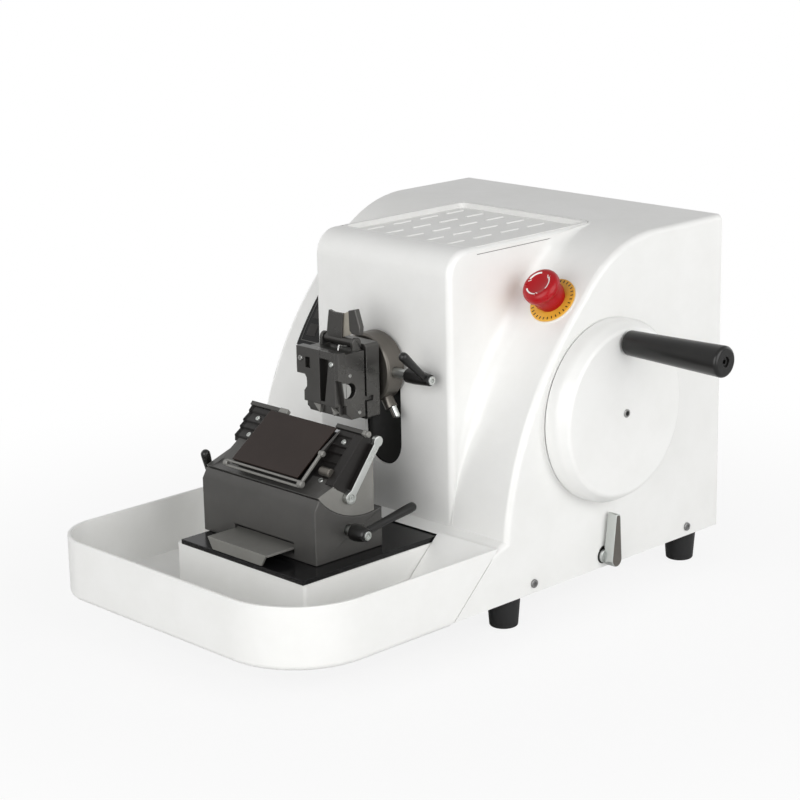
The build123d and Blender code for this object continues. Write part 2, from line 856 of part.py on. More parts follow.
def belt_band(grown):
    wheel = Pos(shaft_y, shaft_z) * Circle(driven_groove_radius + grown)
    small = Pos(motor_y, motor_z) * Circle(motor_groove_radius + grown)
    return make_hull((wheel + small).edges())


def drive_belt():
    low = pulley_x + pulley_flange + running_gap
    width = pulley_width - 2 * pulley_flange - 2 * running_gap
    outer = extrude(Plane.YZ.offset(low) * belt_band(running_gap + belt_thickness), amount=width)
    inner = extrude(Plane.YZ.offset(low - 1) * belt_band(running_gap), amount=width + 2)
    return outer - inner


motor_right_x = pulley_x - motor_stub - mount_plate - motor_gap


def drive_motor():
    motor = rod_x(motor_right_x - motor_length, motor_right_x, motor_y, motor_z, motor_radius)
    motor = fillet(motor.edges().filter_by(GeomType.CIRCLE), motor_round)
    return motor + rod_x(motor_right_x - 1, motor_right_x + mount_plate, motor_y, motor_z, motor_nose_radius)


def motor_mount():
    right = motor_right_x + mount_plate
    front, rear = motor_y - mount_half_width, motor_y + mount_half_width
    mount = box(motor_right_x, right, front, rear, floor_top_z, motor_z + mount_half_width)
    mount += box(right - mount_foot_length, right, front, rear, floor_top_z, floor_top_z + mount_plate)
    return mount - rod_x(motor_right_x - 1, right + 1, motor_y, motor_z, motor_nose_radius)


def crank_disc():
    right = crank_disc_x + crank_disc_thickness
    disc = rod_x(crank_disc_x, right, shaft_y, shaft_z, crank_disc_radius)
    half = rod_x(crank_disc_x, right, shaft_y, shaft_z, counterweight_radius)
    disc += half - box(crank_disc_x - 1, right + 1, shaft_y - counterweight_radius,
                       shaft_y + counterweight_radius, shaft_z - counterweight_drop,
                       shaft_z + counterweight_radius)
    disc += rod_x(crank_disc_x, right, shaft_y, shaft_z + throw, pin_boss_radius)
    pin_end = yoke_left_x + yoke_thickness + pin_gap
    disc += rod_x(pin_end, crank_disc_x + 1, shaft_y, shaft_z + throw, pin_radius)
    return disc - rod_x(crank_disc_x + crank_disc_thickness / 2, right + 1, shaft_y, shaft_z, shaft_radius)


carriage_left_x = hood_x - carriage_half_width
carriage_right_x = hood_x + carriage_half_width
carriage_rear_y = carriage_front_y + carriage_depth
upright_inner_left = carriage_left_x - running_gap - rail_thickness
upright_inner_right = carriage_right_x + running_gap + rail_thickness


def slide_frame():
    left = upright_inner_left - upright_thickness
    right = upright_inner_right + upright_thickness
    rear = carriage_front_y + upright_depth
    frame = box(left, right, carriage_front_y, rear, floor_top_z, floor_top_z + slide_foot_height)
    frame += box(left, right, carriage_front_y, rear, slide_top_z - slide_tie_height, slide_top_z)
    frame += box(left, upright_inner_left, carriage_front_y, rear, floor_top_z, slide_top_z)
    frame += box(upright_inner_right, right, carriage_front_y, rear, floor_top_z, slide_top_z)
    return frame


def slide_rails():
    middle = carriage_front_y + upright_depth / 2
    front, rear = middle - rail_depth / 2, middle + rail_depth / 2
    left = box(upright_inner_left, upright_inner_left + rail_thickness, front, rear, rail_bottom_z,
               rail_top_z)
    right = box(upright_inner_right - rail_thickness, upright_inner_right, front, rear, rail_bottom_z,
                rail_top_z)
    return Compound([left, right])


def vertical_carriage():
    block = box(carriage_left_x, carriage_right_x, carriage_front_y, carriage_rear_y,
                head_z - carriage_half_height, head_z + carriage_half_height)
    arm_low, arm_high = head_z - arm_half_height, head_z + arm_half_height
    plate_rear = motor_plate_y + motor_plate_thickness
    block += box(carriage_left_x, carriage_left_x + arm_thickness, carriage_rear_y - 1, plate_rear,
                 arm_low, arm_high)
    block += box(carriage_left_x, yoke_left_x + 1, motor_plate_y, plate_rear, arm_low, arm_high)
    yoke_right_x = yoke_left_x + yoke_thickness
    yoke_z = shaft_z + throw
    slot_half_length = throw + pin_radius + running_gap
    slot_low, slot_high = yoke_z - pin_radius - running_gap, yoke_z + pin_radius + running_gap
    block += box(yoke_left_x, yoke_right_x, carriage_rear_y - 1, shaft_y + slot_half_length + yoke_end_margin,
                 yoke_z - yoke_half_height, yoke_z + yoke_half_height)
    block -= box(yoke_left_x - 1, yoke_right_x + 1, shaft_y - slot_half_length, motor_plate_y - 1,
                 slot_low, slot_high)
    block -= box(yoke_left_x + yoke_web, yoke_right_x + 1, shaft_y - slot_half_length,
                 shaft_y + slot_half_length, slot_low, slot_high)
    block -= rod_y(carriage_front_y - 1, carriage_rear_y + 1, hood_x, head_z, bush_radius)
    return block - rod_y(motor_plate_y - 1, plate_rear + 1, hood_x, head_z, nut_radius)


def ram_bushes():
    rings = []
    for low in (carriage_front_y, carriage_rear_y - bush_length):
        ring = rod_y(low, low + bush_length, hood_x, head_z, bush_radius)
        rings.append(ring - rod_y(low - 1, low + bush_length + 1, hood_x, head_z, ram_radius + shaft_gap))
    return Compound(rings)


def feed_ram():
    ram = rod_y(ram_front_y, ram_rear_y, hood_x, head_z, ram_radius)
    ram -= rod_y(ram_bore_front_y - feed_travel, ram_rear_y, hood_x, head_z, ram_bore_radius)
    return ram - rod_y(ram_rear_y - nut_length, ram_rear_y + 1, hood_x, head_z, nut_radius)


def feed_nut():
    nut = rod_y(ram_rear_y - nut_length, ram_rear_y, hood_x, head_z, nut_radius)
    return nut - rod_y(ram_rear_y - nut_length - 1, ram_rear_y + 1, hood_x, head_z,
                       feed_screw_radius + shaft_gap)


def feed_screw():
    rear = motor_plate_y + motor_plate_thickness - shaft_gap
    screw_rod = rod_y(feed_screw_front_y, rear, hood_x, head_z, feed_screw_radius)
    return chamfer(screw_rod.edges().filter_by(GeomType.CIRCLE), feed_screw_chamfer)


def feed_motor():
    low = motor_plate_y + motor_plate_thickness
    motor = box(hood_x - feed_motor_half, hood_x + feed_motor_half, low, low + feed_motor_length,
                head_z - feed_motor_half, head_z + feed_motor_half)
    return chamfer(motor.edges().filter_by(Axis.Y), feed_motor_chamfer)


def slot_shutter():
    front = hood_front_y + cover_wall + shutter_clearance
    shutter = box(hood_x - shutter_half_width, hood_x + shutter_half_width, front, front + shutter_thickness,
                  shutter_bottom_z, shutter_top_z)
    collar_radius = ram_radius + running_gap + shutter_collar_wall
    shutter += rod_y(front, carriage_front_y, hood_x, head_z, collar_radius)
    return shutter - rod_y(front - 1, carriage_front_y + 1, hood_x, head_z, ram_radius + running_gap)


def head_drum():
    drum = rod_y(drum_front_y, ram_front_y, hood_x, head_z, drum_radius)
    drum = chamfer(drum.edges().filter_by(GeomType.CIRCLE), drum_edge)
    drum -= Pos(hood_x, ball_y, head_z) * Sphere(ball_radius + running_gap)
    drum -= rod_y(drum_front_y - 1, ball_y, hood_x, head_z, ball_radius + running_gap)
    stud_x = hood_x + drum_radius
    drum -= rod_x(stud_x - head_stud_sunk, stud_x + 1, ball_y, head_z, head_stud_radius + shaft_gap)
    return drum


# A small locking screw that points outwards from the lower right of the drum
def drum_screw():
    turn = radians(drum_screw_angle)
    middle = (hood_x, (drum_front_y + ram_front_y) / 2, head_z)
    place = Plane(origin=middle, x_dir=(0, 1, 0), z_dir=(sin(turn), 0, -cos(turn)))
    boss_end = drum_radius + drum_screw_length
    boss = Cylinder(drum_screw_radius, drum_screw_length + 2)
    boss = place * Pos(0, 0, boss_end - drum_screw_length / 2 - 1) * boss
    boss -= rod_y(clamp_rear_y, hood_front_y, hood_x, head_z, drum_radius)
    pin = Cylinder(drum_pin_radius, drum_pin_length + 2)
    return boss + place * Pos(0, 0, boss_end + drum_pin_length / 2 - 1) * pin


def tilt_ball():
    reach = 2 * ball_radius
    half_slot = ball_slot_half + running_gap
    ball = Pos(hood_x, ball_y, head_z) * Sphere(ball_radius)
    ball -= box(hood_x - reach, hood_x + reach, ball_y - reach, ball_y + tongue_half_width + running_gap,
                head_z - half_slot, head_z + half_slot)
    return ball - rod_z(head_z - reach, head_z + reach, hood_x, ball_y, tongue_pin_radius + shaft_gap)


clamp_left_x = hood_x - clamp_half_width
clamp_right_x = hood_x + clamp_half_width
back_plate_front_y = clamp_rear_y - back_plate_thickness
jaw_rear_y = clamp_front_y + jaw_depth


def clamp_body():
    rear_plate = box(clamp_left_x, clamp_right_x, back_plate_front_y, clamp_rear_y, back_plate_low_z,
                     back_plate_high_z)
    rear_plate = chamfer(rear_plate.edges().filter_by(Axis.Y), back_plate_chamfer)
    notch_x, notch_y, notch_z = back_notch_size
    rear_plate -= box(clamp_right_x - notch_x, clamp_right_x + 1, back_plate_front_y - 1,
                      back_plate_front_y + notch_y, back_notch_z, back_notch_z + notch_z)
    block_rear = back_plate_front_y - clamp_groove
    neck = box(clamp_left_x + clamp_groove_depth, clamp_right_x - clamp_groove_depth, block_rear,
               back_plate_front_y + 1, clamp_block_low_z + clamp_groove_depth,
               clamp_block_high_z - clamp_groove_depth)
    block = box(clamp_left_x, clamp_right_x, jaw_rear_y, block_rear, clamp_block_low_z, clamp_block_high_z)
    low_front = block.edges().filter_by(Axis.X).sort_by(Axis.Z)[:2].sort_by(Axis.Y)[0]
    block = chamfer(low_front, clamp_chamfer)
    block -= rod_x(clamp_right_x - waist_depth, clamp_right_x + 1, jaw_rear_y + waist_set_back, waist_z,
                   waist_radius)
    tongue = box(hood_x - tongue_half_width, hood_x + tongue_half_width, clamp_rear_y - 1, ball_y,
                 head_z - ball_slot_half, head_z + ball_slot_half)
    tongue += rod_z(head_z - ball_slot_half, head_z + ball_slot_half, hood_x, ball_y, tongue_half_width)
    pin_half = sqrt(ball_radius ** 2 - tongue_pin_radius ** 2) - running_gap
    tongue += rod_z(head_z - pin_half, head_z + pin_half, hood_x, ball_y, tongue_pin_radius)
    lug_x = clamp_lever_half_width + running_gap
    lever_pin = rod_x(hood_x - lug_x - 1, hood_x + lug_x + 1, clamp_lever_pivot_y, clamp_lever_pivot_z,
                      clamp_pin_radius)
    body = rear_plate + neck + block + tongue + lever_pin
    for side in (-1, 1):
        ends = sorted([hood_x + side * lug_x, hood_x + side * (lug_x + lug_thickness)])
        body += box(ends[0], ends[1], clamp_lever_pivot_y - lug_half_depth,
                    clamp_lever_pivot_y + lug_half_depth, clamp_block_high_z - 1, clamp_lever_pivot_z)
        body += rod_x(ends[0], ends[1], clamp_lever_pivot_y, clamp_lever_pivot_z, lug_half_depth)
    return body


# Half of the upright V groove between the two jaws
def jaw_groove(x, side):
    front = clamp_front_y - 1
    wedge = make_face(Polyline((x, front), (x + side * jaw_groove_depth, front),
                               (x, front + jaw_groove_depth), close=True))
    return Pos(0, 0, jaw_low_z - 1) * extrude(wedge, amount=jaw_high_z - jaw_low_z + 2, dir=(0, 0, 1))


def jaw_screw_hole(x, z):
    return rod_y(clamp_front_y - 1, clamp_front_y + jaw_screw_depth, x, z, jaw_screw_radius)


def fixed_jaw():
    jaw = box(clamp_left_x, jaw_split_x, clamp_front_y, jaw_rear_y, jaw_low_z, jaw_high_z)
    jaw -= box(clamp_left_x - 1, clamp_left_x + jaw_ear_depth, clamp_front_y - 1, jaw_rear_y + 1,
               jaw_low_z - 1, jaw_ear_low_z)
    jaw -= jaw_groove(jaw_split_x, -1)
    return jaw - jaw_screw_hole(clamp_left_x + jaw_ear_depth / 2, jaw_high_z - jaw_ear_depth)


def moving_jaw():
    low = jaw_split_x + running_gap
    right = clamp_right_x - jaw_step
    jaw = box(low, right, clamp_front_y, jaw_rear_y - hair_gap, jaw_low_z, jaw_high_z)
    jaw -= box(low - 1, low + jaw_window_width, clamp_front_y - 1, jaw_rear_y - jaw_screw_depth,
               jaw_window_low_z, jaw_window_high_z)
    jaw -= jaw_groove(low, 1)
    corner = jaw.edges().filter_by(Axis.Y).sort_by(Axis.X)[-2:].sort_by(Axis.Z)[0]
    jaw = chamfer(corner, clamp_chamfer)
    return jaw - jaw_screw_hole(right - 3 * jaw_screw_radius, jaw_high_z - jaw_ear_depth)


def clamp_lever():
    y, z = clamp_lever_pivot_y, clamp_lever_pivot_z
    left, right = hood_x - clamp_lever_half_width, hood_x + clamp_lever_half_width
    lever = rod_x(left, right, y, z, clamp_lever_hub_radius)
    for outline in (clamp_lever_left_blade, clamp_lever_right_blade):
        blade_half = extrude(Plane.XZ * make_face(Polyline(*outline, close=True)),
                             amount=clamp_lever_thickness)
        lever += Pos(hood_x, y + clamp_lever_thickness / 2, z) * blade_half
    rear = y + clamp_lever_thickness / 2
    gap_left, gap_right = clamp_lever_left_blade[1][0], clamp_lever_right_blade[0][0]
    lever += box(hood_x + gap_left - 1, hood_x + gap_right + 1, rear - clamp_lever_web, rear, z,
                 z + clamp_lever_web_height)
    return lever - rod_x(left - 1, right + 1, y, z, clamp_pin_radius + shaft_gap)


def hand_lever(x_low, side, y, z, hub_radius, hub_length, reach, angle):
    x_high = x_low + side * hub_length
    lever = rod_x(min(x_low, x_high), max(x_low, x_high), y, z, hub_radius)
    middle = (x_low + x_high) / 2
    end = (middle, y + reach * cos(radians(angle)), z + reach * sin(radians(angle)))
    lever += taper((middle, y, z), end, handle_root_radius, handle_end_radius)
    lever += Pos(*end) * Sphere(handle_end_radius)
    cap = (x_high, x_high + side * hex_height)
    return lever + hexagon_x(min(cap), max(cap), y, z, hex_radius)


def head_lever():
    stud_start = hood_x + drum_radius - head_stud_sunk + head_stud_clearance
    lever = hand_lever(head_lever_x, 1, ball_y, head_z, head_lever_hub_radius, head_lever_hub,
                       head_handle_reach, head_handle_angle)
    return lever + rod_x(stud_start, head_lever_x + 1, ball_y, head_z, head_stud_radius)


holder_left_x = holder_x - holder_half_width
holder_right_x = holder_x + holder_half_width


def knife_plate():
    plate = box(plate_left_x, plate_right_x, plate_front_y, plate_rear_y, pedestal_top_z, plate_top_z)
    rear_right = plate.edges().filter_by(Axis.Z).sort_by(Axis.Y)[-2:].sort_by(Axis.X)[-1]
    plate = chamfer(rear_right, plate_chamfer)
    return plate + box(holder_x - key_half_width, holder_x + key_half_width, holder_front_y + key_end,
                       ledge_y - key_end, plate_top_z - 1, plate_top_z + key_height)


def holder_base():
    bottom = plate_top_z + hair_gap
    outline = [(holder_front_y, bottom), (holder_rear_y, bottom), (holder_rear_y, holder_rear_z),
               (edge_y + seat_tail, holder_rear_z), (edge_y, edge_z), (holder_brow_y, edge_z),
               (holder_brow_y, holder_brow_z), (holder_front_y, holder_front_z)]
    base = side_prism(outline, holder_left_x, holder_right_x)
    base -= rod_x(holder_left_x - 1, holder_right_x + 1, edge_y, edge_z, seat_radius)
    base = base.solids().sort_by(SortBy.VOLUME)[-1]
    base -= box(holder_x - key_half_width - running_gap, holder_x + key_half_width + running_gap,
                holder_front_y - 1, holder_rear_y + 1, bottom - 1, plate_top_z + key_height + running_gap)
    pocket_left = plate_lever_x - plate_lever_half - running_gap
    pocket_right = plate_lever_x + plate_lever_half + running_gap
    pin_reach = plate_lever_pin_reach + running_gap
    base -= box(pocket_left, pocket_right, holder_front_y - 1, plate_lever_pivot_y + plate_lever_pocket,
                plate_lever_pivot_z - plate_lever_pocket, plate_lever_pivot_z + plate_lever_pocket)
    base -= rod_x(pocket_left - pin_reach, pocket_right + pin_reach, plate_lever_pivot_y, plate_lever_pivot_z,
                  plate_lever_pin_radius + shaft_gap)
    stud_bore = arc_stud_radius + shaft_gap
    base -= rod_x(holder_right_x - arc_stud_length, holder_right_x + 1, arc_lever_y, arc_lever_z, stud_bore)
    return base - rod_x(holder_left_x - 1, holder_left_x + arc_stud_length, shift_lever_y, shift_lever_z,
                        stud_bore)


# A flat sheet on a pin in the holder's front, its outer edge bent down to a tapered flange
def plate_lever():
    y, z = plate_lever_pivot_y, plate_lever_pivot_z
    low, high = z - plate_lever_sheet / 2, z + plate_lever_sheet / 2
    left, right = plate_lever_x - plate_lever_half, plate_lever_x + plate_lever_half
    tip_left, tip_right = plate_lever_x - plate_lever_tip_half, plate_lever_x + plate_lever_tip_half
    sheet = box(left, right, plate_lever_fold_y, y, low, high)
    flange_low = low - plate_lever_flange
    flange = make_face(Polyline((left, high), (right, high), (tip_right, flange_low),
                                (tip_left, flange_low), close=True))
    sheet += Pos(0, plate_lever_fold_y, 0) * extrude(Plane.XZ * flange, amount=plate_lever_sheet)
    return sheet + rod_x(left - plate_lever_pin_reach, right + plate_lever_pin_reach, y, z,
                         plate_lever_pin_radius)


slope_y = -cos(radians(blade_slope))
slope_z = -sin(radians(blade_slope))


# A place on the blade's slope: depth below the cutting edge, and height above the blade's face
def on_slope(depth, height):
    return (edge_y + depth * slope_y + height * slope_z, edge_z + depth * slope_z - height * slope_y)


def slab(depth_low, depth_high, height_low, height_high, x_low, x_high):
    corners = [on_slope(depth_low, height_low), on_slope(depth_high, height_low),
               on_slope(depth_high, height_high), on_slope(depth_low, height_high)]
    return side_prism(corners, x_low, x_high)


def holder_rocker():
    support_low = support_seat + support_thickness
    nose = (edge_y - sqrt(rocker_radius ** 2 - (edge_z - rocker_nose_z) ** 2), rocker_nose_z)
    below_z = edge_z - rocker_radius - 1
    behind = on_slope(support_thickness, -support_low)
    inner_half = rocker_half_width - cheek_thickness
    outer_half = rocker_half_width
    body_outline = [nose, on_slope(support_depth + 1, -support_low), behind,
                    (rocker_rear_y, behind[1] - cheek_thickness), (rocker_rear_y, below_z),
                    (nose[0], below_z)]
    disc = rod_x(holder_x - outer_half, holder_x + outer_half, edge_y, edge_z, rocker_radius)
    body = side_prism(body_outline, holder_x - inner_half, holder_x + inner_half) & disc
    cheek_outline = [nose, (cheek_tip_y, cheek_tip_z), (cheek_rear_y, cheek_high_z), (cheek_rear_y, below_z),
                     (nose[0], below_z)]
    for side in (-1, 1):
        ends = sorted([holder_x + side * (inner_half - 1), holder_x + side * outer_half])
        body += side_prism(cheek_outline, ends[0], ends[1]) & disc
    pin_x = holder_x + outer_half
    return body - rod_x(pin_x - blade_lever_pin_length, pin_x + 1, blade_lever_pivot_y, blade_lever_pivot_z,
                        blade_lever_pin_radius + shaft_gap)


def blade_support():
    low = -support_seat - support_thickness
    support = slab(support_front, support_depth, low, -support_seat,
                   holder_x - support_core_half_width, holder_x + support_core_half_width)
    support += slab(support_front, support_wing_depth, low, -support_seat,
                    holder_x - support_half_width, holder_x + support_half_width)
    for side in (-1, 1):
        for depth in support_screw_depths:
            y, z = on_slope(depth, -support_seat)
            middle = holder_x + side * (support_half_width + support_core_half_width) / 2
            place = Plane(origin=(middle, y, z), z_dir=(0, slope_z, -slope_y))
            support += place * Cylinder(support_screw_radius, 2 * support_screw_height)
    return support


def blade():
    return slab(0, blade_depth, -support_seat, -support_seat + blade_thickness,
                holder_x - blade_half_length, holder_x + blade_half_length)


hinge_y, hinge_z = on_slope(guard_hinge_depth, glass_lift + glass_thickness / 2)


def guard_plate():
    return slab(support_front, glass_depth, glass_lift, glass_lift + glass_thickness,
                holder_x - glass_half_width, holder_x + glass_half_width)


def guard_frame():
    low, high = glass_lift, glass_lift + glass_thickness
    left, right = holder_x - glass_half_width, holder_x + glass_half_width
    frame = rod_x(holder_x - guard_hinge_half_length, holder_x + guard_hinge_half_length, hinge_y,
                  hinge_z, guard_hinge_radius)
    frame += slab(glass_depth, guard_hinge_depth, low, high, left, right)
    frame += slab(guard_arm_start, guard_hinge_depth, low, high, left - guard_arm_width, left)
    return frame + slab(guard_arm_start, guard_hinge_depth, low, high, right, right + guard_arm_width)


# A bar that covers one end of the cutting edge from behind, on a foot that slides along the support
def finger_guard(side, reach):
    bar = sorted([holder_x + side * reach, holder_x + side * finger_outer])
    foot = sorted([holder_x + side * (finger_outer - finger_foot), holder_x + side * finger_outer])
    guard = slab(-finger_rear, -finger_front, -support_seat, finger_high, bar[0], bar[1])
    return guard + slab(-finger_rear, finger_foot_depth, -support_seat + hair_gap, finger_high, foot[0],
                        foot[1])


def finger_guard_left():
    return finger_guard(-1, finger_left_inner)


def finger_guard_right():
    return finger_guard(1, finger_right_inner)


def blade_lever():
    place = Pos(holder_x + rocker_half_width + running_gap, blade_lever_pivot_y, blade_lever_pivot_z)
    half = blade_lever_width / 2
    thickness = blade_lever_thickness
    arm = box(0, thickness, 0, blade_lever_length, -half, half)
    arm += rod_x(0, thickness, 0, 0, blade_lever_hub_radius)
    arm += rod_x(0, thickness, blade_lever_length, 0, half)
    arm += rod_x(-blade_lever_pin_length, 0, 0, 0, blade_lever_pin_radius)
    return place * Rot(blade_lever_angle, 0, 0) * arm


def arc_lever():
    x = holder_right_x + arc_stud_length
    lever = hand_lever(x, 1, arc_lever_y, arc_lever_z, arc_hub_radius, arc_hub_length, arc_handle_reach,
                       arc_handle_angle)
    stud_start = holder_right_x - arc_stud_length + head_stud_clearance
    return lever + rod_x(stud_start, x + 1, arc_lever_y, arc_lever_z, arc_stud_radius)


def shift_lever():
    x = holder_left_x - shift_stud_length
    lever = hand_lever(x, -1, shift_lever_y, shift_lever_z, shift_hub_radius, shift_hub_length,
                       shift_handle_reach, shift_handle_angle)
    stud_end = holder_left_x + arc_stud_length - head_stud_clearance
    return lever + rod_x(x - 1, stud_end, shift_lever_y, shift_lever_z, arc_stud_radius)


def wheel_lock_lever():
    low = half_width + lock_standoff
    corner_z = lock_bottom_z + lock_low_corner
    outline = [(lock_y - lock_bottom_half, corner_z), (lock_y - lock_top_half, lock_top_z),
               (lock_y + lock_top_half, lock_top_z), (lock_y + lock_bottom_half, corner_z),
               (lock_y + lock_bottom_half / 2, lock_bottom_z), (lock_y - lock_bottom_half / 2, lock_bottom_z)]
    bar = side_prism(outline, low, low + lock_thickness)
    bar = fillet(bar.edges().filter_by(Axis.X).group_by(Axis.Z)[-1], lock_round)
    bar += rod_x(half_width + running_gap, low + 1, lock_y, lock_z, lock_boss_radius)
    return bar + rod_x(inner_half - lock_spindle_sunk, low + 1, lock_y, lock_z, lock_spindle_radius)


def power_inlet():
    flange_y = rear_y - seam_gap
    outer_y = flange_y + inlet_flange
    width, height = inlet_half_width - hair_gap, inlet_half_height - hair_gap
    inlet = box(inlet_x - width, inlet_x + width, flange_y - inlet_depth, flange_y, inlet_z - height,
                inlet_z + height)
    width, height = inlet_half_width + inlet_flange_rim, inlet_half_height + inlet_flange_rim
    inlet += box(inlet_x - width, inlet_x + width, flange_y, outer_y, inlet_z - height, inlet_z + height)
    width, height = inlet_socket_half_width, inlet_socket_half_height
    inlet -= box(inlet_x - width, inlet_x + width, outer_y - inlet_socket_depth, outer_y + 1,
                 inlet_z - height, inlet_z + height)
    width, height = inlet_pin_half_width, inlet_pin_half_height
    pin_low = outer_y - inlet_socket_depth - 1
    for x, z in inlet_pins:
        inlet += box(inlet_x + x - width, inlet_x + x + width, pin_low, pin_low + inlet_pin_length,
                     inlet_z + z - height, inlet_z + z + height)
    return inlet


def power_switch():
    y = rear_y - seam_gap - rear_panel_thickness / 2
    nose_y = y - switch_depth
    front = y + switch_depth / 2 + 1
    low, high = switch_z - switch_half_height, switch_z + switch_half_height
    outline = [(nose_y, switch_z - switch_nose_half_height), (nose_y, switch_z + switch_nose_half_height),
               (y + 1, high), (front, high), (front - switch_dish, switch_z), (front, low), (y + 1, low)]
    rocker = side_prism(outline, switch_x - switch_half_width, switch_x + switch_half_width)
    pin_end = switch_half_width + switch_pin_reach
    return rocker + rod_x(switch_x - pin_end, switch_x + pin_end, y, switch_z, switch_pin_radius)


def power_supply():
    supply = box(supply_left_x, supply_right_x, supply_front_y, supply_rear_y, floor_top_z,
                 floor_top_z + supply_height)
    return chamfer(supply.edges().filter_by(Axis.Z), supply_chamfer)


def control_board():
    low = floor_top_z + board_lift
    top = low + board_thickness
    board = box(board_left_x, board_right_x, board_front_y, board_rear_y, low, top)
    for x in (board_left_x + spacer_margin, board_right_x - spacer_margin):
        for y in (board_front_y + spacer_margin, board_rear_y - spacer_margin):
            board += rod_z(floor_top_z, low, x, y, spacer_radius)
    for column in range(chip_columns):
        for row in range(chip_rows):
            x = board_left_x + chip_margin + chip_column_step * column
            y = board_front_y + chip_margin + chip_row_step * row
            board += box(x, x + chip_size, y, y + chip_size, low, top + chip_height)
    return board


makers = [
    base_casting, feet, main_cover, housing_screws, rear_panel, storage_tray, waste_tray, control_panel,
    stop_plate, stop_body, stop_stem, stop_head, handwheel, wheel_screw, grip_bolt, crank_grip,
    wheel_lock_lever, main_shaft, shaft_bearings, drive_frame, crank_disc, driven_pulley, drive_belt,
    drive_motor, motor_mount, motor_pulley, slide_frame, slide_rails, vertical_carriage, ram_bushes,
    feed_ram, feed_nut, feed_screw, feed_motor, slot_shutter, head_drum, drum_screw, tilt_ball,
    clamp_body, fixed_jaw, moving_jaw, clamp_lever, head_lever, knife_plate, holder_base, plate_lever,
    holder_rocker, blade_support, blade, guard_plate, guard_frame, finger_guard_left,
    finger_guard_right, blade_lever, arc_lever, shift_lever, power_inlet, power_switch, power_supply,
    control_board,
]
nodes = {maker.__name__: maker() for maker in makers}

# The origin is the middle of the whole part's footprint, at the table
whole = Compound(list(nodes.values())).bounding_box()
origin = Vector(whole.center().X, whole.center().Y, whole.min.Z)
for name, node in nodes.items():
    export_step(Pos(-origin.X, -origin.Y, -origin.Z) * node, f"parts/{name}.step")
print("origin", origin, "size", whole.size)
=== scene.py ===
import bmesh
import bpy
import json
from math import cos, pi, radians, sin
from mathutils import Matrix, Vector


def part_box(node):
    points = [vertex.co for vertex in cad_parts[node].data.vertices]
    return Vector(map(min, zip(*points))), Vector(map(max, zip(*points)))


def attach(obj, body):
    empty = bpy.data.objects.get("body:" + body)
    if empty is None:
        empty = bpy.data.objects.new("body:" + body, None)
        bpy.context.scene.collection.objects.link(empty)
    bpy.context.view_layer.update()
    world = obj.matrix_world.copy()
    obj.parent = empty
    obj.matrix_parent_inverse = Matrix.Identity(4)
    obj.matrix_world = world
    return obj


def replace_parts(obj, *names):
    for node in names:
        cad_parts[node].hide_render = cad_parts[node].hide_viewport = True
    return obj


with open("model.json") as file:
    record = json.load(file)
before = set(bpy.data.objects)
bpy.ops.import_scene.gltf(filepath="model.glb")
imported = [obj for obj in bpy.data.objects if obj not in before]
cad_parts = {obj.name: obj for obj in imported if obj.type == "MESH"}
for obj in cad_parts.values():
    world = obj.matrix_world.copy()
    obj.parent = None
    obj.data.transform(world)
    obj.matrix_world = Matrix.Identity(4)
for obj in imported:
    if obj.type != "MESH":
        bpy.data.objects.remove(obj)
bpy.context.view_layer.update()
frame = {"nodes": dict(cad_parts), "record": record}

mm = 0.001
axisX, axisY, axisZ = Vector((1, 0, 0)), Vector((0, 1, 0)), Vector((0, 0, 1))
housing = {"halfWidth": 148, "rearY": 250, "topZ": 300, "hoodX": 12, "hoodHalfWidth": 77, "hoodFrontY": -13.5}
coverLow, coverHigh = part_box("main_cover")
middleX = (coverLow.x + coverHigh.x) / 2


# The machine's own millimetres: x from the housing's middle, y growing towards its back, z up from the table
def at(x, y, z):
    return Vector((middleX + x * mm, coverHigh.y + (y - housing["rearY"]) * mm, z * mm))


# Three directions from an origin: place(a, b, c) is the point that many millimetres along each
def turnedPlane(origin, across, along, up):
    def place(a, b, c):
        return origin + (across * a + along * b + up * c) * mm
    return place


def facingX(x, y, z):
    return turnedPlane(at(x, y, z), axisY, axisZ, axisX)


def facingFront(x, y, z):
    return turnedPlane(at(x, y, z), axisX, axisZ, -axisY)


# Colours are written as they look on a screen, from 0 to 255
def tone(red, green, blue):
    def linear(value):
        value /= 255
        return value / 12.92 if value <= 0.04045 else ((value + 0.055) / 1.055) ** 2.4
    return (linear(red), linear(green), linear(blue), 1.0)


def newObject(name, data):
    thing = bpy.data.objects.new(name, data)
    bpy.context.scene.collection.objects.link(thing)
    return thing


print("stage: shader groups")


# A new node; each input is given a plain value or the socket that feeds it
def addNode(tree, kind, inputs=None, **settings):
    node = tree.nodes.new(kind)
    for key, value in settings.items():
        setattr(node, key, value)
    for label, value in (inputs or {}).items():
        if isinstance(value, bpy.types.NodeSocket):
            tree.links.new(value, node.inputs[label])
        else:
            node.inputs[label].default_value = value
    return node.outputs


# One step of arithmetic
def mathNode(tree, operation, *inputs):
    return addNode(tree, "ShaderNodeMath", dict(enumerate(inputs)), operation=operation)[0]


def newGroup(name, inputs, outputs):
    group = bpy.data.node_groups.new(name, "ShaderNodeTree")
    for label, kind, value in inputs:
        socket = group.interface.new_socket(label, in_out="INPUT", socket_type="NodeSocket" + kind)
        socket.default_value = value
    for label, kind in outputs:
        group.interface.new_socket(label, in_out="OUTPUT", socket_type="NodeSocket" + kind)
    return group, addNode(group, "NodeGroupInput"), addNode(group, "ShaderNodeTexCoord")["Object"]


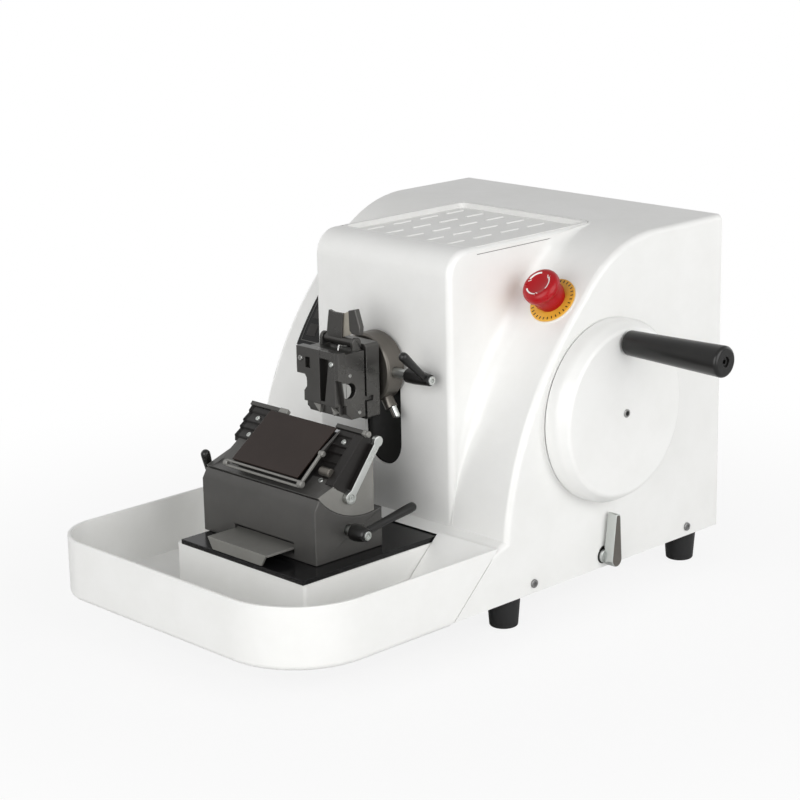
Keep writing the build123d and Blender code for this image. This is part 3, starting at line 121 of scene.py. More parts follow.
# Uneven colour and sheen, as handling and dust leave them
def handledSurface():
    group, given, place = newGroup(
        "handledSurface",
        [("Colour", "Color", (0.5, 0.5, 0.5, 1)), ("Worn", "Color", (0.6, 0.6, 0.6, 1)),
         ("Amount", "Float", 0.3), ("Scale", "Float", 20),
         ("Rough Low", "Float", 0.3), ("Rough High", "Float", 0.4)],
        [("Colour", "Color"), ("Roughness", "Float")])
    patches = addNode(group, "ShaderNodeTexNoise", {
        "Detail": 5, "Roughness": 0.62, "Vector": place, "Scale": given["Scale"]})
    spread = addNode(group, "ShaderNodeMapRange", {
        "From Min": 0.38, "From Max": 0.66, "Value": patches["Fac"]})
    share = mathNode(group, "MULTIPLY", spread["Result"], given["Amount"])
    mix = addNode(group, "ShaderNodeMix", {"Factor": share, "A": given["Colour"], "B": given["Worn"]},
                  data_type="RGBA")
    sheen = addNode(group, "ShaderNodeMapRange", {
        "From Min": 0.3, "From Max": 0.7, "Value": patches["Fac"],
        "To Min": given["Rough Low"], "To Max": given["Rough High"]})
    addNode(group, "NodeGroupOutput", {"Colour": mix["Result"], "Roughness": sheen["Result"]})
    return group


# The soft waves of a sprayed coat, with a finer speckle
def coatRelief():
    group, given, place = newGroup(
        "sprayedCoat", [("Scale", "Float", 400), ("Speckle", "Float", 0.3)], [("Height", "Float")])
    waves = addNode(group, "ShaderNodeTexNoise", {"Detail": 2, "Vector": place, "Scale": given["Scale"]})
    finer = mathNode(group, "MULTIPLY", given["Scale"], 5)
    speckle = addNode(group, "ShaderNodeTexVoronoi", {"Vector": place, "Scale": finer})
    total = mathNode(group, "MULTIPLY_ADD", speckle["Distance"], given["Speckle"], waves["Fac"])
    addNode(group, "NodeGroupOutput", {"Height": total})
    return group


# Fine lines left by grinding, along one direction of the piece
def grindRelief():
    group, given, place = newGroup(
        "groundLines", [("Scale", "Float", 300), ("Stretch", "Vector", (0.04, 1, 1))], [("Height", "Float")])
    stretched = addNode(group, "ShaderNodeVectorMath", {0: place, 1: given["Stretch"]}, operation="MULTIPLY")
    lines = addNode(group, "ShaderNodeTexNoise", {
        "Detail": 4, "Vector": stretched["Vector"], "Scale": given["Scale"]})
    addNode(group, "NodeGroupOutput", {"Height": lines["Fac"]})
    return group


handled, sprayedCoat, groundLines = handledSurface(), coatRelief(), grindRelief()

print("stage: materials")
# Each finish: its colour and worn colour, the range of its roughness, its share of metal, the scale and depth
# in mm of its relief, and where they differ the share that is worn, its coat and its specular level
finishes = {
    "white_enamel": {"colour": (239, 239, 237), "worn": (232, 232, 229), "rough": (0.3, 0.38), "scale": 420,
                     "depth": 0.012, "coat": 0.25},
    "white_plastic": {"colour": (240, 240, 238), "worn": (233, 233, 230), "rough": (0.36, 0.44),
                      "scale": 900, "depth": 0.008},
    "grey_casting": {"colour": (243, 243, 241), "worn": (236, 236, 233), "wear": 0.6, "rough": (0.4, 0.5),
                     "scale": 300, "depth": 0.03},
    "dark_rubber": {"colour": (15, 15, 16), "worn": (24, 24, 25), "wear": 0.6, "rough": (0.45, 0.6),
                    "scale": 1200, "depth": 0.03},
    "zinc_screws": {"colour": (150, 150, 150), "worn": (120, 120, 118), "wear": 0.6, "rough": (0.28, 0.42),
                    "metal": 1, "scale": 900, "depth": 0.01},
    "panel_black": {"colour": (15, 15, 16), "worn": (21, 21, 22), "wear": 0.4, "rough": (0.16, 0.24),
                    "scale": 700, "depth": 0.004, "specular": 0.3},
    "signal_yellow": {"colour": (232, 178, 62), "worn": (222, 164, 50), "wear": 0.6, "rough": (0.38, 0.48),
                      "scale": 900, "depth": 0.006},
    "signal_red": {"colour": (170, 2, 17), "worn": (160, 2, 15), "rough": (0.24, 0.32), "scale": 800,
                   "depth": 0.005, "specular": 0.35},
    "black_plastic": {"colour": (17, 17, 16), "worn": (26, 25, 24), "wear": 0.6, "rough": (0.26, 0.36),
                      "scale": 1500, "depth": 0.01, "specular": 0.35, "coat": 0.15},
    "bright_steel": {"colour": (206, 209, 206), "worn": (186, 188, 186), "rough": (0.24, 0.34), "metal": 1,
                     "scale": 700, "depth": 0.008},
    "ground_steel": {"colour": (176, 176, 174), "worn": (158, 158, 156), "rough": (0.28, 0.4), "metal": 1,
                     "scale": 600, "depth": 0.01},
    "plain_aluminium": {"colour": (192, 187, 175), "worn": (174, 169, 158), "rough": (0.35, 0.48),
                        "metal": 1, "scale": 500, "depth": 0.01},
    "black_anodised": {"colour": (33, 31, 30), "worn": (43, 41, 39), "rough": (0.3, 0.42), "metal": 0.45,
                       "scale": 1400, "depth": 0.01},
    "anthracite": {"colour": (83, 82, 80), "worn": (73, 72, 70), "wear": 0.6, "rough": (0.34, 0.44),
                   "metal": 0.35, "scale": 900, "depth": 0.015},
    "rocker_grey": {"colour": (141, 140, 136), "worn": (128, 127, 123), "wear": 0.6, "rough": (0.34, 0.46),
                    "metal": 0.5, "scale": 500, "depth": 0.008},
    "dark_nickel": {"colour": (117, 113, 107), "worn": (100, 96, 91), "wear": 0.6, "rough": (0.3, 0.42),
                    "metal": 0.8, "scale": 500, "depth": 0.008},
    "clamp_steel": {"colour": (90, 89, 87), "worn": (76, 75, 73), "rough": (0.24, 0.34), "metal": 0.8,
                    "scale": 600, "depth": 0.003},
    "bronze": {"colour": (176, 140, 92), "worn": (150, 116, 74), "wear": 0.6, "rough": (0.35, 0.5),
               "metal": 1, "scale": 500, "depth": 0.01},
    "blade_steel": {"colour": (198, 200, 202), "worn": (184, 186, 188), "wear": 0.4, "rough": (0.14, 0.22),
                    "metal": 1, "scale": 900, "depth": 0.003},
    "smoked_glass": {"colour": (38, 27, 22), "worn": (46, 34, 28), "wear": 0.4, "rough": (0.16, 0.24),
                     "scale": 60, "depth": 0.003, "specular": 0.3},
    "belt_rubber": {"colour": (32, 32, 32), "worn": (44, 44, 44), "rough": (0.6, 0.75), "scale": 1500,
                    "depth": 0.02},
    "board_green": {"colour": (34, 92, 58), "worn": (28, 80, 50), "rough": (0.35, 0.5), "scale": 600,
                    "depth": 0.01},
}
shared = {"wear": 0.5, "coatRough": 0.12, "specular": 0.5, "patchScale": 25, "bumpStrength": 0.6}
groundMetal = 0.5  # the share of metal from which a finish is ground, not sprayed


def makeFinish(name, finish):
    material = bpy.data.materials.new(name)
    material.use_nodes = True
    tree = material.node_tree
    shader = tree.nodes["Principled BSDF"].inputs
    shader["Metallic"].default_value = finish.get("metal", 0)
    shader["Coat Weight"].default_value = finish.get("coat", 0)
    shader["Coat Roughness"].default_value = shared["coatRough"]
    shader["Specular IOR Level"].default_value = finish.get("specular", shared["specular"])
    low, high = finish["rough"]
    surface = addNode(tree, "ShaderNodeGroup", {
        "Colour": tone(*finish["colour"]), "Worn": tone(*finish["worn"]),
        "Amount": finish.get("wear", shared["wear"]), "Scale": shared["patchScale"],
        "Rough Low": low, "Rough High": high}, node_tree=handled)
    tile = groundLines if finish.get("metal", 0) >= groundMetal else sprayedCoat
    relief = addNode(tree, "ShaderNodeGroup", {"Scale": finish["scale"]}, node_tree=tile)
    bump = addNode(tree, "ShaderNodeBump", {
        "Strength": shared["bumpStrength"], "Distance": finish["depth"] * mm, "Height": relief["Height"]})
    tree.links.new(surface["Colour"], shader["Base Color"])
    tree.links.new(surface["Roughness"], shader["Roughness"])
    tree.links.new(bump["Normal"], shader["Normal"])
    return material


materials = {name: makeFinish(name, finish) for name, finish in finishes.items()}

record = frame["record"]
slotOf = {piece["node"]: piece["material_slot"] for piece in record["subparts"]}
bodyOf = {node: body for body, members in record["behaviour"]["bodies"].items() for node in members}
for node, thing in frame["nodes"].items():
    thing.data.materials.clear()
    thing.data.materials.append(materials[slotOf[node]])

print("stage: mesh helpers")
# Distances in metres at which points are joined, and angles in degrees up to which flats are joined and past
# which edges look sharp or are rounded
joining = {"made": 1e-6, "node": 2e-6}
angles = {"flat": 0.4, "sharp": 38, "rounded": 32}
# Nodes whose triangles stay as they are
keptTriangles = ("waste_tray", "knife_plate")


def evaluated(holder):
    bpy.context.view_layer.update()
    mesh = bpy.data.meshes.new_from_object(holder.evaluated_get(bpy.context.evaluated_depsgraph_get()))
    bpy.data.objects.remove(holder)
    return mesh


# Rounds the sharp edges and evens out the normals of the flats, then leaves a plain mesh
def roundEdges(mesh, width):
    mesh.shade_smooth()
    holder = newObject("rounding", mesh)
    bevel = holder.modifiers.new("edges", "BEVEL")
    bevel.width = width * mm
    bevel.segments = 2
    bevel.limit_method = "ANGLE"
    bevel.angle_limit = radians(angles["rounded"])
    bevel.use_clamp_overlap = False
    bevel.loop_slide = False
    holder.modifiers.new("even", "WEIGHTED_NORMAL")
    return evaluated(holder)


def addPiece(name, mesh, slot, body="frame", width=0.0):
    if width:
        mesh = roundEdges(mesh, width)
    mesh.name = name
    mesh.materials.clear()
    mesh.materials.append(materials[slot])
    if not mesh.has_custom_normals:
        mesh.shade_smooth()
        mesh.set_sharp_from_angle(angle=radians(angles["sharp"]))
    thing = newObject(name, mesh)
    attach(thing, body)
    return thing


# A piece that stands for a CAD node and rides on its body
def standIn(name, mesh, slot, node, width=0.0):
    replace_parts(addPiece(name, mesh, slot, bodyOf[node], width), node)


def meshOf(bm):
    bmesh.ops.remove_doubles(bm, verts=bm.verts[:], dist=joining["made"])
    bmesh.ops.recalc_face_normals(bm, faces=bm.faces[:])
    mesh = bpy.data.meshes.new("made")
    bm.to_mesh(mesh)
    bm.free()
    return mesh


def nodeCopy(node):
    bm = bmesh.new()
    bm.from_mesh(frame["nodes"][node].data)
    bmesh.ops.remove_doubles(bm, verts=bm.verts[:], dist=joining["node"])
    return bm


# The CAD node's own shape with its faces joined, softly rounded edges and even shading
def dressNode(node, width, slot):
    bm = nodeCopy(node)
    if node not in keptTriangles:
        flat = radians(angles["flat"])
        bmesh.ops.dissolve_limit(bm, angle_limit=flat, verts=bm.verts[:], edges=bm.edges[:])
    plain = bpy.data.meshes.new("plain")
    bm.verts.index_update()
    plain.from_pydata([v.co for v in bm.verts], [], [[v.index for v in face.verts] for face in bm.faces])
    bm.free()
    standIn(node + "_soft", plain, slot, node, width)


cover = {"sunk": 0.4, "proud": 0.04, "within": 0.05, "facing": 0.999}


# A thin plate that lies on the outermost flat of a CAD node, in another finish
def faceCover(name, node, direction, slot):
    bm = nodeCopy(node)
    bm.normal_update()
    far = max(vertex.co.dot(direction) for vertex in bm.verts) - cover["within"] * mm
    rest = [face for face in bm.faces
            if face.normal.dot(direction) < cover["facing"] or face.calc_center_median().dot(direction) < far]
    bmesh.ops.delete(bm, geom=rest, context="FACES")
    bmesh.ops.translate(bm, vec=-direction * cover["sunk"] * mm, verts=bm.verts[:])
    grown = bmesh.ops.extrude_face_region(bm, geom=bm.faces[:], use_keep_orig=True)["geom"]
    moved = [item for item in grown if isinstance(item, bmesh.types.BMVert)]
    bmesh.ops.translate(bm, vec=direction * (cover["sunk"] + cover["proud"]) * mm, verts=moved)
    addPiece(name, meshOf(bm), slot, bodyOf[node])


# A skin over rings that have the same number of points, closed at both ends
def lofted(rings):
    bm = bmesh.new()
    loops = [[bm.verts.new(point) for point in ring] for ring in rings]
    bm.faces.new(loops[0])
    bm.faces.new(loops[-1][::-1])
    for low, high in zip(loops, loops[1:]):
        for i in range(len(low)):
            j = (i + 1) % len(low)
            bm.faces.new([low[i], low[j], high[j], high[i]])
    return meshOf(bm)


def prism(outline, thickness, place):
    return lofted([[place(a, b, height) for a, b in outline] for height in (0, thickness)])


def block(low, high):
    width, depth, height = (at(*high) - at(*low)) / mm
    place = turnedPlane(at(*low), axisX, axisY, axisZ)
    return prism([(0, 0), (width, 0), (width, depth), (0, depth)], height, place)


def sidePrism(outline, xLow, xHigh):
    return prism(outline, xHigh - xLow, facingX(xLow, 0, 0))


def frontPrism(outline, rear, front):
    return prism(outline, rear - front, facingFront(0, rear, 0))


# A turned piece: its outline as radius and height above place(0, 0, 0)
def turned(outline, place, steps=48):
    bm = bmesh.new()
    rings = []
    for radius, height in outline:
        if radius == 0:
            rings.append([bm.verts.new(place(0, 0, height))] * steps)
        else:
            turns = [2 * pi * i / steps for i in range(steps)]
            rings.append([bm.verts.new(place(radius * cos(t), radius * sin(t), height)) for t in turns])
    for low, high in zip(rings, rings[1:]):
        for i in range(steps):
            j = (i + 1) % steps
            corners = [low[i], low[j], high[j], high[i]]
            face = [corner for k, corner in enumerate(corners) if corner not in corners[:k]]
            if len(face) > 2:
                bm.faces.new(face)
    return meshOf(bm)


def turnedDisc(radius, low, high, place, steps=48):
    return turned([(0, low), (radius, low), (radius, high), (0, high)], place, steps)


def turnedRing(inner, outer, low, high, place, steps):
    corners = [(inner, low), (outer, low), (outer, high), (inner, high)]
    return turned(corners + corners[:1], place, steps)


# A round bar between two points, with eased ends
def bar(start, end, radius, ease=0.4, steps=28):
    length = (end - start).length / mm
    up = (end - start).normalized()
    across = up.orthogonal().normalized()
    outline = [(0, 0), (radius - ease, 0), (radius, ease),
               (radius, length - ease), (radius - ease, length), (0, length)]
    return turned(outline, turnedPlane(start, across, up.cross(across), up), steps)


def barAlongX(xLow, xHigh, y, z, radius, ease=0.4):
    return bar(at(xLow, y, z), at(xHigh, y, z), radius, ease)


# A low screw head with a round socket
def screwHead(place, radius, height=1.2):
    outline = [(0, -0.6), (radius, -0.6), (radius, height * 0.6), (radius * 0.85, height),
               (radius * 0.5, height), (radius * 0.45, height * 0.4), (0, height * 0.3)]
    return turned(outline, place, 28)


# Cuts other shapes out of a mesh
def carved(mesh, *cutters):
    body = newObject("carved", mesh)
    tools = [newObject("cutter", cutter) for cutter in cutters]
    for tool in tools:
        cut = body.modifiers.new("cut", "BOOLEAN")
        cut.operation = "DIFFERENCE"
        cut.solver = "EXACT"
        cut.object = tool
    done = evaluated(body)
    for tool in tools:
        bpy.data.objects.remove(tool)
    return done


def joinMeshes(meshes):
    bm = bmesh.new()
    for mesh in meshes:
        bm.from_mesh(mesh)
    mesh = bpy.data.meshes.new("joined")
    bm.to_mesh(mesh)
    bm.free()
    return mesh


print("stage: softened nodes")
# How far each node's edges are rounded, in mm
edgeWidths = {
    "feet": 0.5, "housing_screws": 0.15, "rear_panel": 0.4, "storage_tray": 0.55, "waste_tray": 0.7,
    "control_panel": 0.3, "stop_plate": 0.3, "stop_body": 0.4, "handwheel": 0.8, "grip_bolt": 0.2,
    "crank_grip": 0.5, "slot_shutter": 0.3, "feed_ram": 0.5, "head_drum": 0.5, "drum_screw": 0.35,
    "clamp_body": 0.5, "knife_plate": 0.5, "holder_base": 0.9, "plate_lever": 0.35, "holder_rocker": 0.5,
    "power_inlet": 0.4, "power_switch": 0.4,
}
repainted = {"plate_lever": "rocker_grey", "holder_rocker": "anthracite", "grip_bolt": "black_plastic",
             "knife_plate": "panel_black"}
for node, width in edgeWidths.items():
    dressNode(node, width, repainted.get(node, slotOf[node]))
faceCover("rockerCheekRight", "holder_rocker", axisX, "rocker_grey")
faceCover("rockerCheekLeft", "holder_rocker", -axisX, "rocker_grey")

print("stage: housing")
# The wing's top line: a flat top, a round shoulder, a straight slope and a wide sweep down to the kink
wing = {
    "shoulderRadius": 110, "slopeAngle": 46, "slopeLength": 33.4, "sweepEnd": 84, "kinkY": -13.5,
    "kinkZ": 79,
}
slopeTurn = radians(wing["slopeAngle"])
slopeSin, slopeCos = sin(slopeTurn), cos(slopeTurn)
endSin, endCos = sin(radians(wing["sweepEnd"])), cos(radians(wing["sweepEnd"]))
shoulderFall = wing["shoulderRadius"] * (1 - slopeCos)
sweepFall = housing["topZ"] - wing["kinkZ"] - shoulderFall - wing["slopeLength"] * slopeSin
sweepRadius = sweepFall / (slopeCos - endCos)
sweepCentreY = wing["kinkY"] + sweepRadius * endSin
sweepCentreZ = wing["kinkZ"] - sweepRadius * endCos
shoulderY = sweepCentreY + (wing["shoulderRadius"] - sweepRadius) * slopeSin + wing["slopeLength"] * slopeCos
shoulderLength = wing["shoulderRadius"] * slopeTurn
sweepLength = sweepRadius * radians(wing["sweepEnd"] - wing["slopeAngle"])
wingLength = shoulderLength + wing["slopeLength"] + sweepLength


# A point of the top line, by its distance from where the flat top ends, and the turn of the surface there
def onWing(distance):
    radius, run = wing["shoulderRadius"], distance - shoulderLength
    if run < 0:
        turn = distance / radius
        return shoulderY - radius * sin(turn), housing["topZ"] - radius + radius * cos(turn), turn
    if run < wing["slopeLength"]:
        startY, startZ = shoulderY - radius * slopeSin, housing["topZ"] - shoulderFall
        return startY - run * slopeCos, startZ - run * slopeSin, slopeTurn
    turn = slopeTurn + (run - wing["slopeLength"]) / sweepRadius
    return sweepCentreY - sweepRadius * sin(turn), sweepCentreZ + sweepRadius * cos(turn), turn


def aboveWing(x, distance, lift):
    y, z, turn = onWing(distance)
    return at(x, y - sin(turn) * lift, z + cos(turn) * lift)


# The soft inner corner where the hood's side runs into each wing, smaller where the hood leaves less room
seam = {
    "radius": 14, "leastRadius": 0.3, "roomShare": 0.7, "leastTurn": 0.3, "start": 14, "endGap": 1,
    "steps": 90, "arcSteps": 18, "sunk": 0.4, "proud": 0.02, "cornerRound": 5,
}


def seamStrip(side):
    wallX = housing["hoodX"] + side * housing["hoodHalfWidth"]
    inX, sunk = wallX - side * seam["sunk"], -seam["sunk"]
    rings = []
    for step in range(seam["steps"] + 1):
        distance = seam["start"] + (wingLength - seam["start"] - seam["endGap"]) * step / seam["steps"]
        y, z, turn = onWing(distance)
        above = (housing["topZ"] - z) / max(cos(turn), seam["leastTurn"])
        before = (y - housing["hoodFrontY"] - seam["cornerRound"]) / max(sin(turn), seam["leastTurn"])
        radius = max(min(seam["radius"], min(above, before) * seam["roomShare"]), seam["leastRadius"])
        ring = [aboveWing(inX, distance, sunk), aboveWing(inX, distance, radius)]
        for i in range(seam["arcSteps"] + 1):
            part = pi / 2 * i / seam["arcSteps"]
            out, lift = radius * (1 - cos(part)), radius * (1 - sin(part))
            ring.append(aboveWing(wallX + side * out, distance, lift + seam["proud"]))
        ring.append(aboveWing(wallX + side * radius, distance, sunk))
        rings.append(ring)
    return lofted(rings)


addPiece("hoodSeamLeft", seamStrip(-1), "white_enamel")
addPiece("hoodSeamRight", seamStrip(1), "white_enamel")

print("stage: control panel")
panel = {
    "left": -129, "right": -74, "start": 86.4, "end": 190.6, "rim": 3.5, "line": 0.7, "lineSteps": 24,
    "top": 1.2, "sunk": 0.2, "lift": 0.25, "sideRoom": 4, "endRoom": 5, "screenDepth": 22, "screenGap": 7,
    "keyColumns": 3, "keyRows": 4, "keyGap": 4.5, "keyLift": 0.15,
}


# A thin slab that lies on the left wing
def wingPatch(xLow, xHigh, start, end, low, high, steps=10):
    corners = [(xLow, low), (xHigh, low), (xHigh, high), (xLow, high)]
    places = [start + (end - start) * step / steps for step in range(steps + 1)]
    return lofted([[aboveWing(x, distance, lift) for x, lift in corners] for distance in places])


def panelPieces():
    left, right = panel["left"] + panel["rim"], panel["right"] - panel["rim"]
    start, end = panel["start"] + panel["rim"], panel["end"] - panel["rim"]
    low, high, line = panel["top"] - panel["sunk"], panel["top"] + panel["lift"], panel["line"]
    bezel = [wingPatch(left, left + line, start, end, low, high, panel["lineSteps"]),
             wingPatch(right - line, right, start, end, low, high, panel["lineSteps"]),
             wingPatch(left, right, start, start + line, low, high, 1),
             wingPatch(left, right, end - line, end, low, high, 1)]
    addPiece("panelBezel", joinMeshes(bezel), "anthracite")
    left, right = left + panel["sideRoom"], right - panel["sideRoom"]
    start, end = start + panel["endRoom"], end - panel["endRoom"]
    screen = wingPatch(left, right, start, start + panel["screenDepth"], low, high)
    addPiece("panelScreen", screen, "smoked_glass", width=0.2)
    start += panel["screenDepth"] + panel["screenGap"]
    columns, rows, gap = panel["keyColumns"], panel["keyRows"], panel["keyGap"]
    width = (right - left - gap * (columns - 1)) / columns
    depth = (end - start - gap * (rows - 1)) / rows
    keys = []
    for column in range(columns):
        for row in range(rows):
            x, run = left + column * (width + gap), start + row * (depth + gap)
            keys.append(wingPatch(x, x + width, run, run + depth, low, high + panel["keyLift"], 4))
    addPiece("panelKeys", joinMeshes(keys), "black_anodised", width=0.3)


panelPieces()

print("stage: emergency stop")
# Heights are above the plate's foot; the skirt, rim and dish are the head's outline as radius and height
stop = {
    "x": 120, "pastMiddle": 2.8, "pad": 0.8, "plate": 1.6, "collar": 6, "travel": 4, "gap": 0.35,
    "neckRadius": 6.5, "neckSpan": (-14, -0.1), "sleeve": (10.55, 11.7), "sleeveSpan": (1.62, 7),
    "skirtInner": 12.1, "skirt": [(12.1, 6.1), (12.9, 6.1), (13.3, 6.5), (13.3, 15.6)],
    "rim": [(14.6, 16), (15.5, 16.9), (15.8, 18.4), (15.7, 20.2), (15.1, 22), (14.1, 23.4)],
    "dish": [(12.9, 24.3), (11.8, 24.75), (10.8, 24.85), (9.9, 24.6), (8.4, 24), (6.2, 23.5), (3.2, 23.25),
        (0, 23.2)],
    "marks": 30, "markRadius": 17.7, "markSize": (0.9, 2.3, 0.16), "arrowRadius": 9.4,
    "arrowWidth": 1.2, "arrowTurn": 66, "arrowHead": 14, "arrowCount": 3, "arrowSteps": 14,
    "arrowStart": -20, "arrowSunk": -0.3, "arrowLift": 0.08, "headWide": 0.9, "headTip": 0.35,
}
stopY, stopZ = onWing(shoulderLength + wing["slopeLength"] / 2 + stop["pastMiddle"])[:2]
stopUp = Vector((0, -slopeSin, slopeCos))
stopAlong = Vector((0, slopeCos, slopeSin))
onStop = turnedPlane(at(stop["x"], stopY, stopZ) + stopUp * stop["pad"] * mm, axisX, stopAlong, stopUp)


def dishHeight(radius):
    dish = stop["dish"]
    for (outer, high), (inner, low) in zip(dish, dish[1:]):
        if inner <= radius <= outer:
            return low + (high - low) * (radius - inner) / (outer - inner)
    return dish[-1][1]


# One bent arrow that lies on the head's top and shows the way to turn it
def headArrow(start):
    inner, width, steps = stop["arrowRadius"], stop["arrowWidth"], stop["arrowSteps"]
    end, wide, tip = start + stop["arrowTurn"], width * stop["headWide"], width * stop["headTip"]
    spans = [(inner, inner + width, start + stop["arrowTurn"] * step / steps) for step in range(steps + 1)]
    spans.append((inner - wide, inner + width + wide, end))
    spans.append((inner + tip, inner + width - tip, end + stop["arrowHead"]))
    sunk, lift = stop["arrowSunk"], stop["arrowLift"]
    rings = []
    for low, high, turn in spans:
        across, along = cos(radians(turn)), sin(radians(turn))
        rings.append([onStop(radius * across, radius * along, dishHeight(radius) + height)
                      for radius, height in ((low, sunk), (high, sunk), (high, lift), (low, lift))])
    return lofted(rings)


def stopPieces():
    base = stop["plate"] + stop["collar"] + stop["travel"] + stop["gap"]
    head = [(0, base), (stop["skirtInner"], base)] + stop["skirt"] + stop["rim"] + stop["dish"]
    standIn("stopDome", turned(head, onStop, 72), "signal_red", "stop_head")
    low, high = stop["neckSpan"]
    neck = turnedDisc(stop["neckRadius"], base + low, base + high, onStop)
    standIn("stopNeck", neck, "black_plastic", "stop_stem", 0.3)
    sleeve = turnedRing(*stop["sleeve"], *stop["sleeveSpan"], onStop, 64)
    addPiece("stopSleeve", sleeve, "signal_red")
    starts = [360 * i / stop["arrowCount"] + stop["arrowStart"] for i in range(stop["arrowCount"])]
    arrows = joinMeshes([headArrow(start) for start in starts])
    addPiece("stopArrows", arrows, "white_plastic", "stop_head")


stopPieces()


# One of the small equal blocks on a circle round the head, a quarter of it sunk in the plate
def stopMark(turn):
    width, length, height = stop["markSize"]
    outward = axisX * cos(turn) + stopAlong * sin(turn)
    place = turnedPlane(onStop(0, 0, stop["plate"] - height / 4), outward.cross(stopUp), outward, stopUp)
    half, near, far = width / 2, stop["markRadius"] - length / 2, stop["markRadius"] + length / 2
    return prism([(-half, near), (half, near), (half, far), (-half, far)], height, place)


marks = [stopMark(2 * pi * i / stop["marks"]) for i in range(stop["marks"])]
addPiece("stopMarks", joinMeshes(marks), "black_plastic")

print("stage: hand levers")
# Each clamping lever: where its hub starts and ends along x, the hub's two radii, the handle's place, reach
# and angle, and the bright stud
handLevers = {
    "head_lever": {"inner": 54, "outer": 80, "y": -25.5, "z": 200, "radii": (5.9, 4.6), "handleX": 74.5,
                   "reach": 33, "angle": 137, "stud": (35, 54.5), "studRadius": 4},
    "arc_lever": {"inner": 74, "outer": 89, "y": -106, "z": 95, "radii": (6.9, 5.2), "handleX": 82.5,
                  "reach": 55, "angle": 9, "stud": (62.5, 74.4), "studRadius": 3.7},
    "shift_lever": {"inner": -67.5, "outer": -78, "y": -124, "z": 108, "radii": (5.4, 4.6), "handleX": -72.5,
                    "reach": 26, "angle": 104, "stud": (-67.8, -60.5), "studRadius": 4},
}
leverShape = {"rootRadius": 3.3, "waistRadius": 3.1, "endRadius": 3.9, "screwRadius": 3.5, "domeSteps": 7}


# A clamping lever: a black tapered hub with a round handle, and a bright stud and socket screw
def handLever(node, lever):
    outward = axisX if lever["outer"] > lever["inner"] else -axisX
    length, y, z = abs(lever["outer"] - lever["inner"]), lever["y"], lever["z"]
    inner, outer = lever["radii"]
    place = turnedPlane(at(lever["inner"], y, z), axisY, axisZ, outward)
    hub = [(0, 0), (inner - 0.8, 0), (inner, 0.9), (inner, length * 0.35), (outer + 0.3, length * 0.85),
           (outer, length - 0.7), (outer - 0.7, length), (0, length)]
    turn, reach = radians(lever["angle"]), lever["reach"]
    direction = Vector((0, cos(turn), sin(turn)))
    handlePlace = turnedPlane(at(lever["handleX"], y, z), outward, direction.cross(outward), direction)
    root, waist, end = leverShape["rootRadius"], leverShape["waistRadius"], leverShape["endRadius"]
    handle = [(0, 0), (root, 0), (waist, reach * 0.3), (waist * 1.03, reach * 0.5),
              (end * 0.97, reach * 0.85), (end, reach * 0.96)]
    for i in range(1, leverShape["domeSteps"]):
        part = pi / 2 * i / leverShape["domeSteps"]
        handle.append((end * cos(part), reach + end * sin(part)))
    handle.append((0, reach + end))
    black = [turned(hub, place, 40), turned(handle, handlePlace, 32)]
    standIn(node + "_soft", joinMeshes(black), "black_plastic", node)
    screw = leverShape["screwRadius"]
    socket = [(0, 0.3), (screw * 0.5, 0.3), (screw * 0.5, 1.5), (screw * 0.9, 1.5), (screw, 1.2),
              (screw, -0.5), (0, -0.5)]
    low, high = sorted(lever["stud"])
    bright = [turned(socket, turnedPlane(place(0, 0, length), axisY, axisZ, outward), 30),
              barAlongX(low, high, y, z, lever["studRadius"])]
    addPiece(node + "_steel", joinMeshes(bright), "bright_steel", bodyOf[node])


for node, lever in handLevers.items():
    handLever(node, lever)

# The wheel's lock: a wedge that stands off the housing on a round boss, with painted shade on its outer face
# and a washer
lock = {
    "inner": 150.5, "outer": 160, "bossY": 100.6, "bossZ": 40, "bossRadius": 5.6, "bossGap": 0.3,
    "bossIn": 1, "footY": 104.4, "footZ": 38, "footRadius": 6, "footSteps": 10, "washerSpan": (0.02, 0.9),
    "washerRadius": 6.5, "faceShares": (0.86, 0.96), "faceSunk": 0.35, "faceThick": 0.4,
    "outline": [(110.4, 38), (108.4, 75), (107.4, 76.2), (104.9, 76.8), (103.8, 76), (98.4, 38)],
}


def lockPieces():
    side, body = housing["halfWidth"], bodyOf["wheel_lock_lever"]
    outline, foot = list(lock["outline"]), lock["footRadius"]
    for i in range(1, lock["footSteps"]):
        turn = pi + pi * i / lock["footSteps"]
        outline.append((lock["footY"] + foot * cos(turn), lock["footZ"] + foot * sin(turn)))
    wedge = roundEdges(sidePrism(outline, lock["inner"], lock["outer"]), 0.5)
    boss = barAlongX(side + lock["bossGap"], lock["inner"] + lock["bossIn"], lock["bossY"], lock["bossZ"],
                     lock["bossRadius"])
    standIn("lockLever", joinMeshes([wedge, boss]), "bright_steel", "wheel_lock_lever")
    # A darker plate on the wedge's outer face: painted shade on that side of the lever
    middleY, middleZ = (sum(values) / len(outline) for values in zip(*outline))
    shareY, shareZ = lock["faceShares"]
    inset = [(middleY + (y - middleY) * shareY, middleZ + (z - middleZ) * shareZ) for y, z in outline]
    faceX = lock["outer"] - lock["faceSunk"]
    addPiece("lockPaintedShadeFace", sidePrism(inset, faceX, faceX + lock["faceThick"]), "dark_nickel", body)
    low, high = (side + gap for gap in lock["washerSpan"])
    washer = barAlongX(low, high, lock["bossY"], lock["bossZ"], lock["washerRadius"], 0.2)
    addPiece("lockWasher", washer, "black_plastic")


lockPieces()

print("stage: handwheel")
# Two rings behind the wheel, as outer radius and span from the housing's side: a pale one that narrows the
# gap, and a black one that is painted shade in the gap; and the screw in its middle, whose heights are from
# the wheel's front, with a black disc as painted shade on the floor of its socket
wheel = {
    "y": 103, "z": 163.6, "front": 170, "ringInner": 60, "pale": (74.4, 0.05, 1.2),
    "dark": (73.4, 1.15, 1.75), "socketRadius": 2.1, "socketFloor": (-0.7, 0.1),
    "screw": [(0, -19), (3, -19), (3, -1), (3.5, -1), (3.5, 0.6), (3.1, 1), (2, 1), (2, -0.6), (0, -0.6)],
}


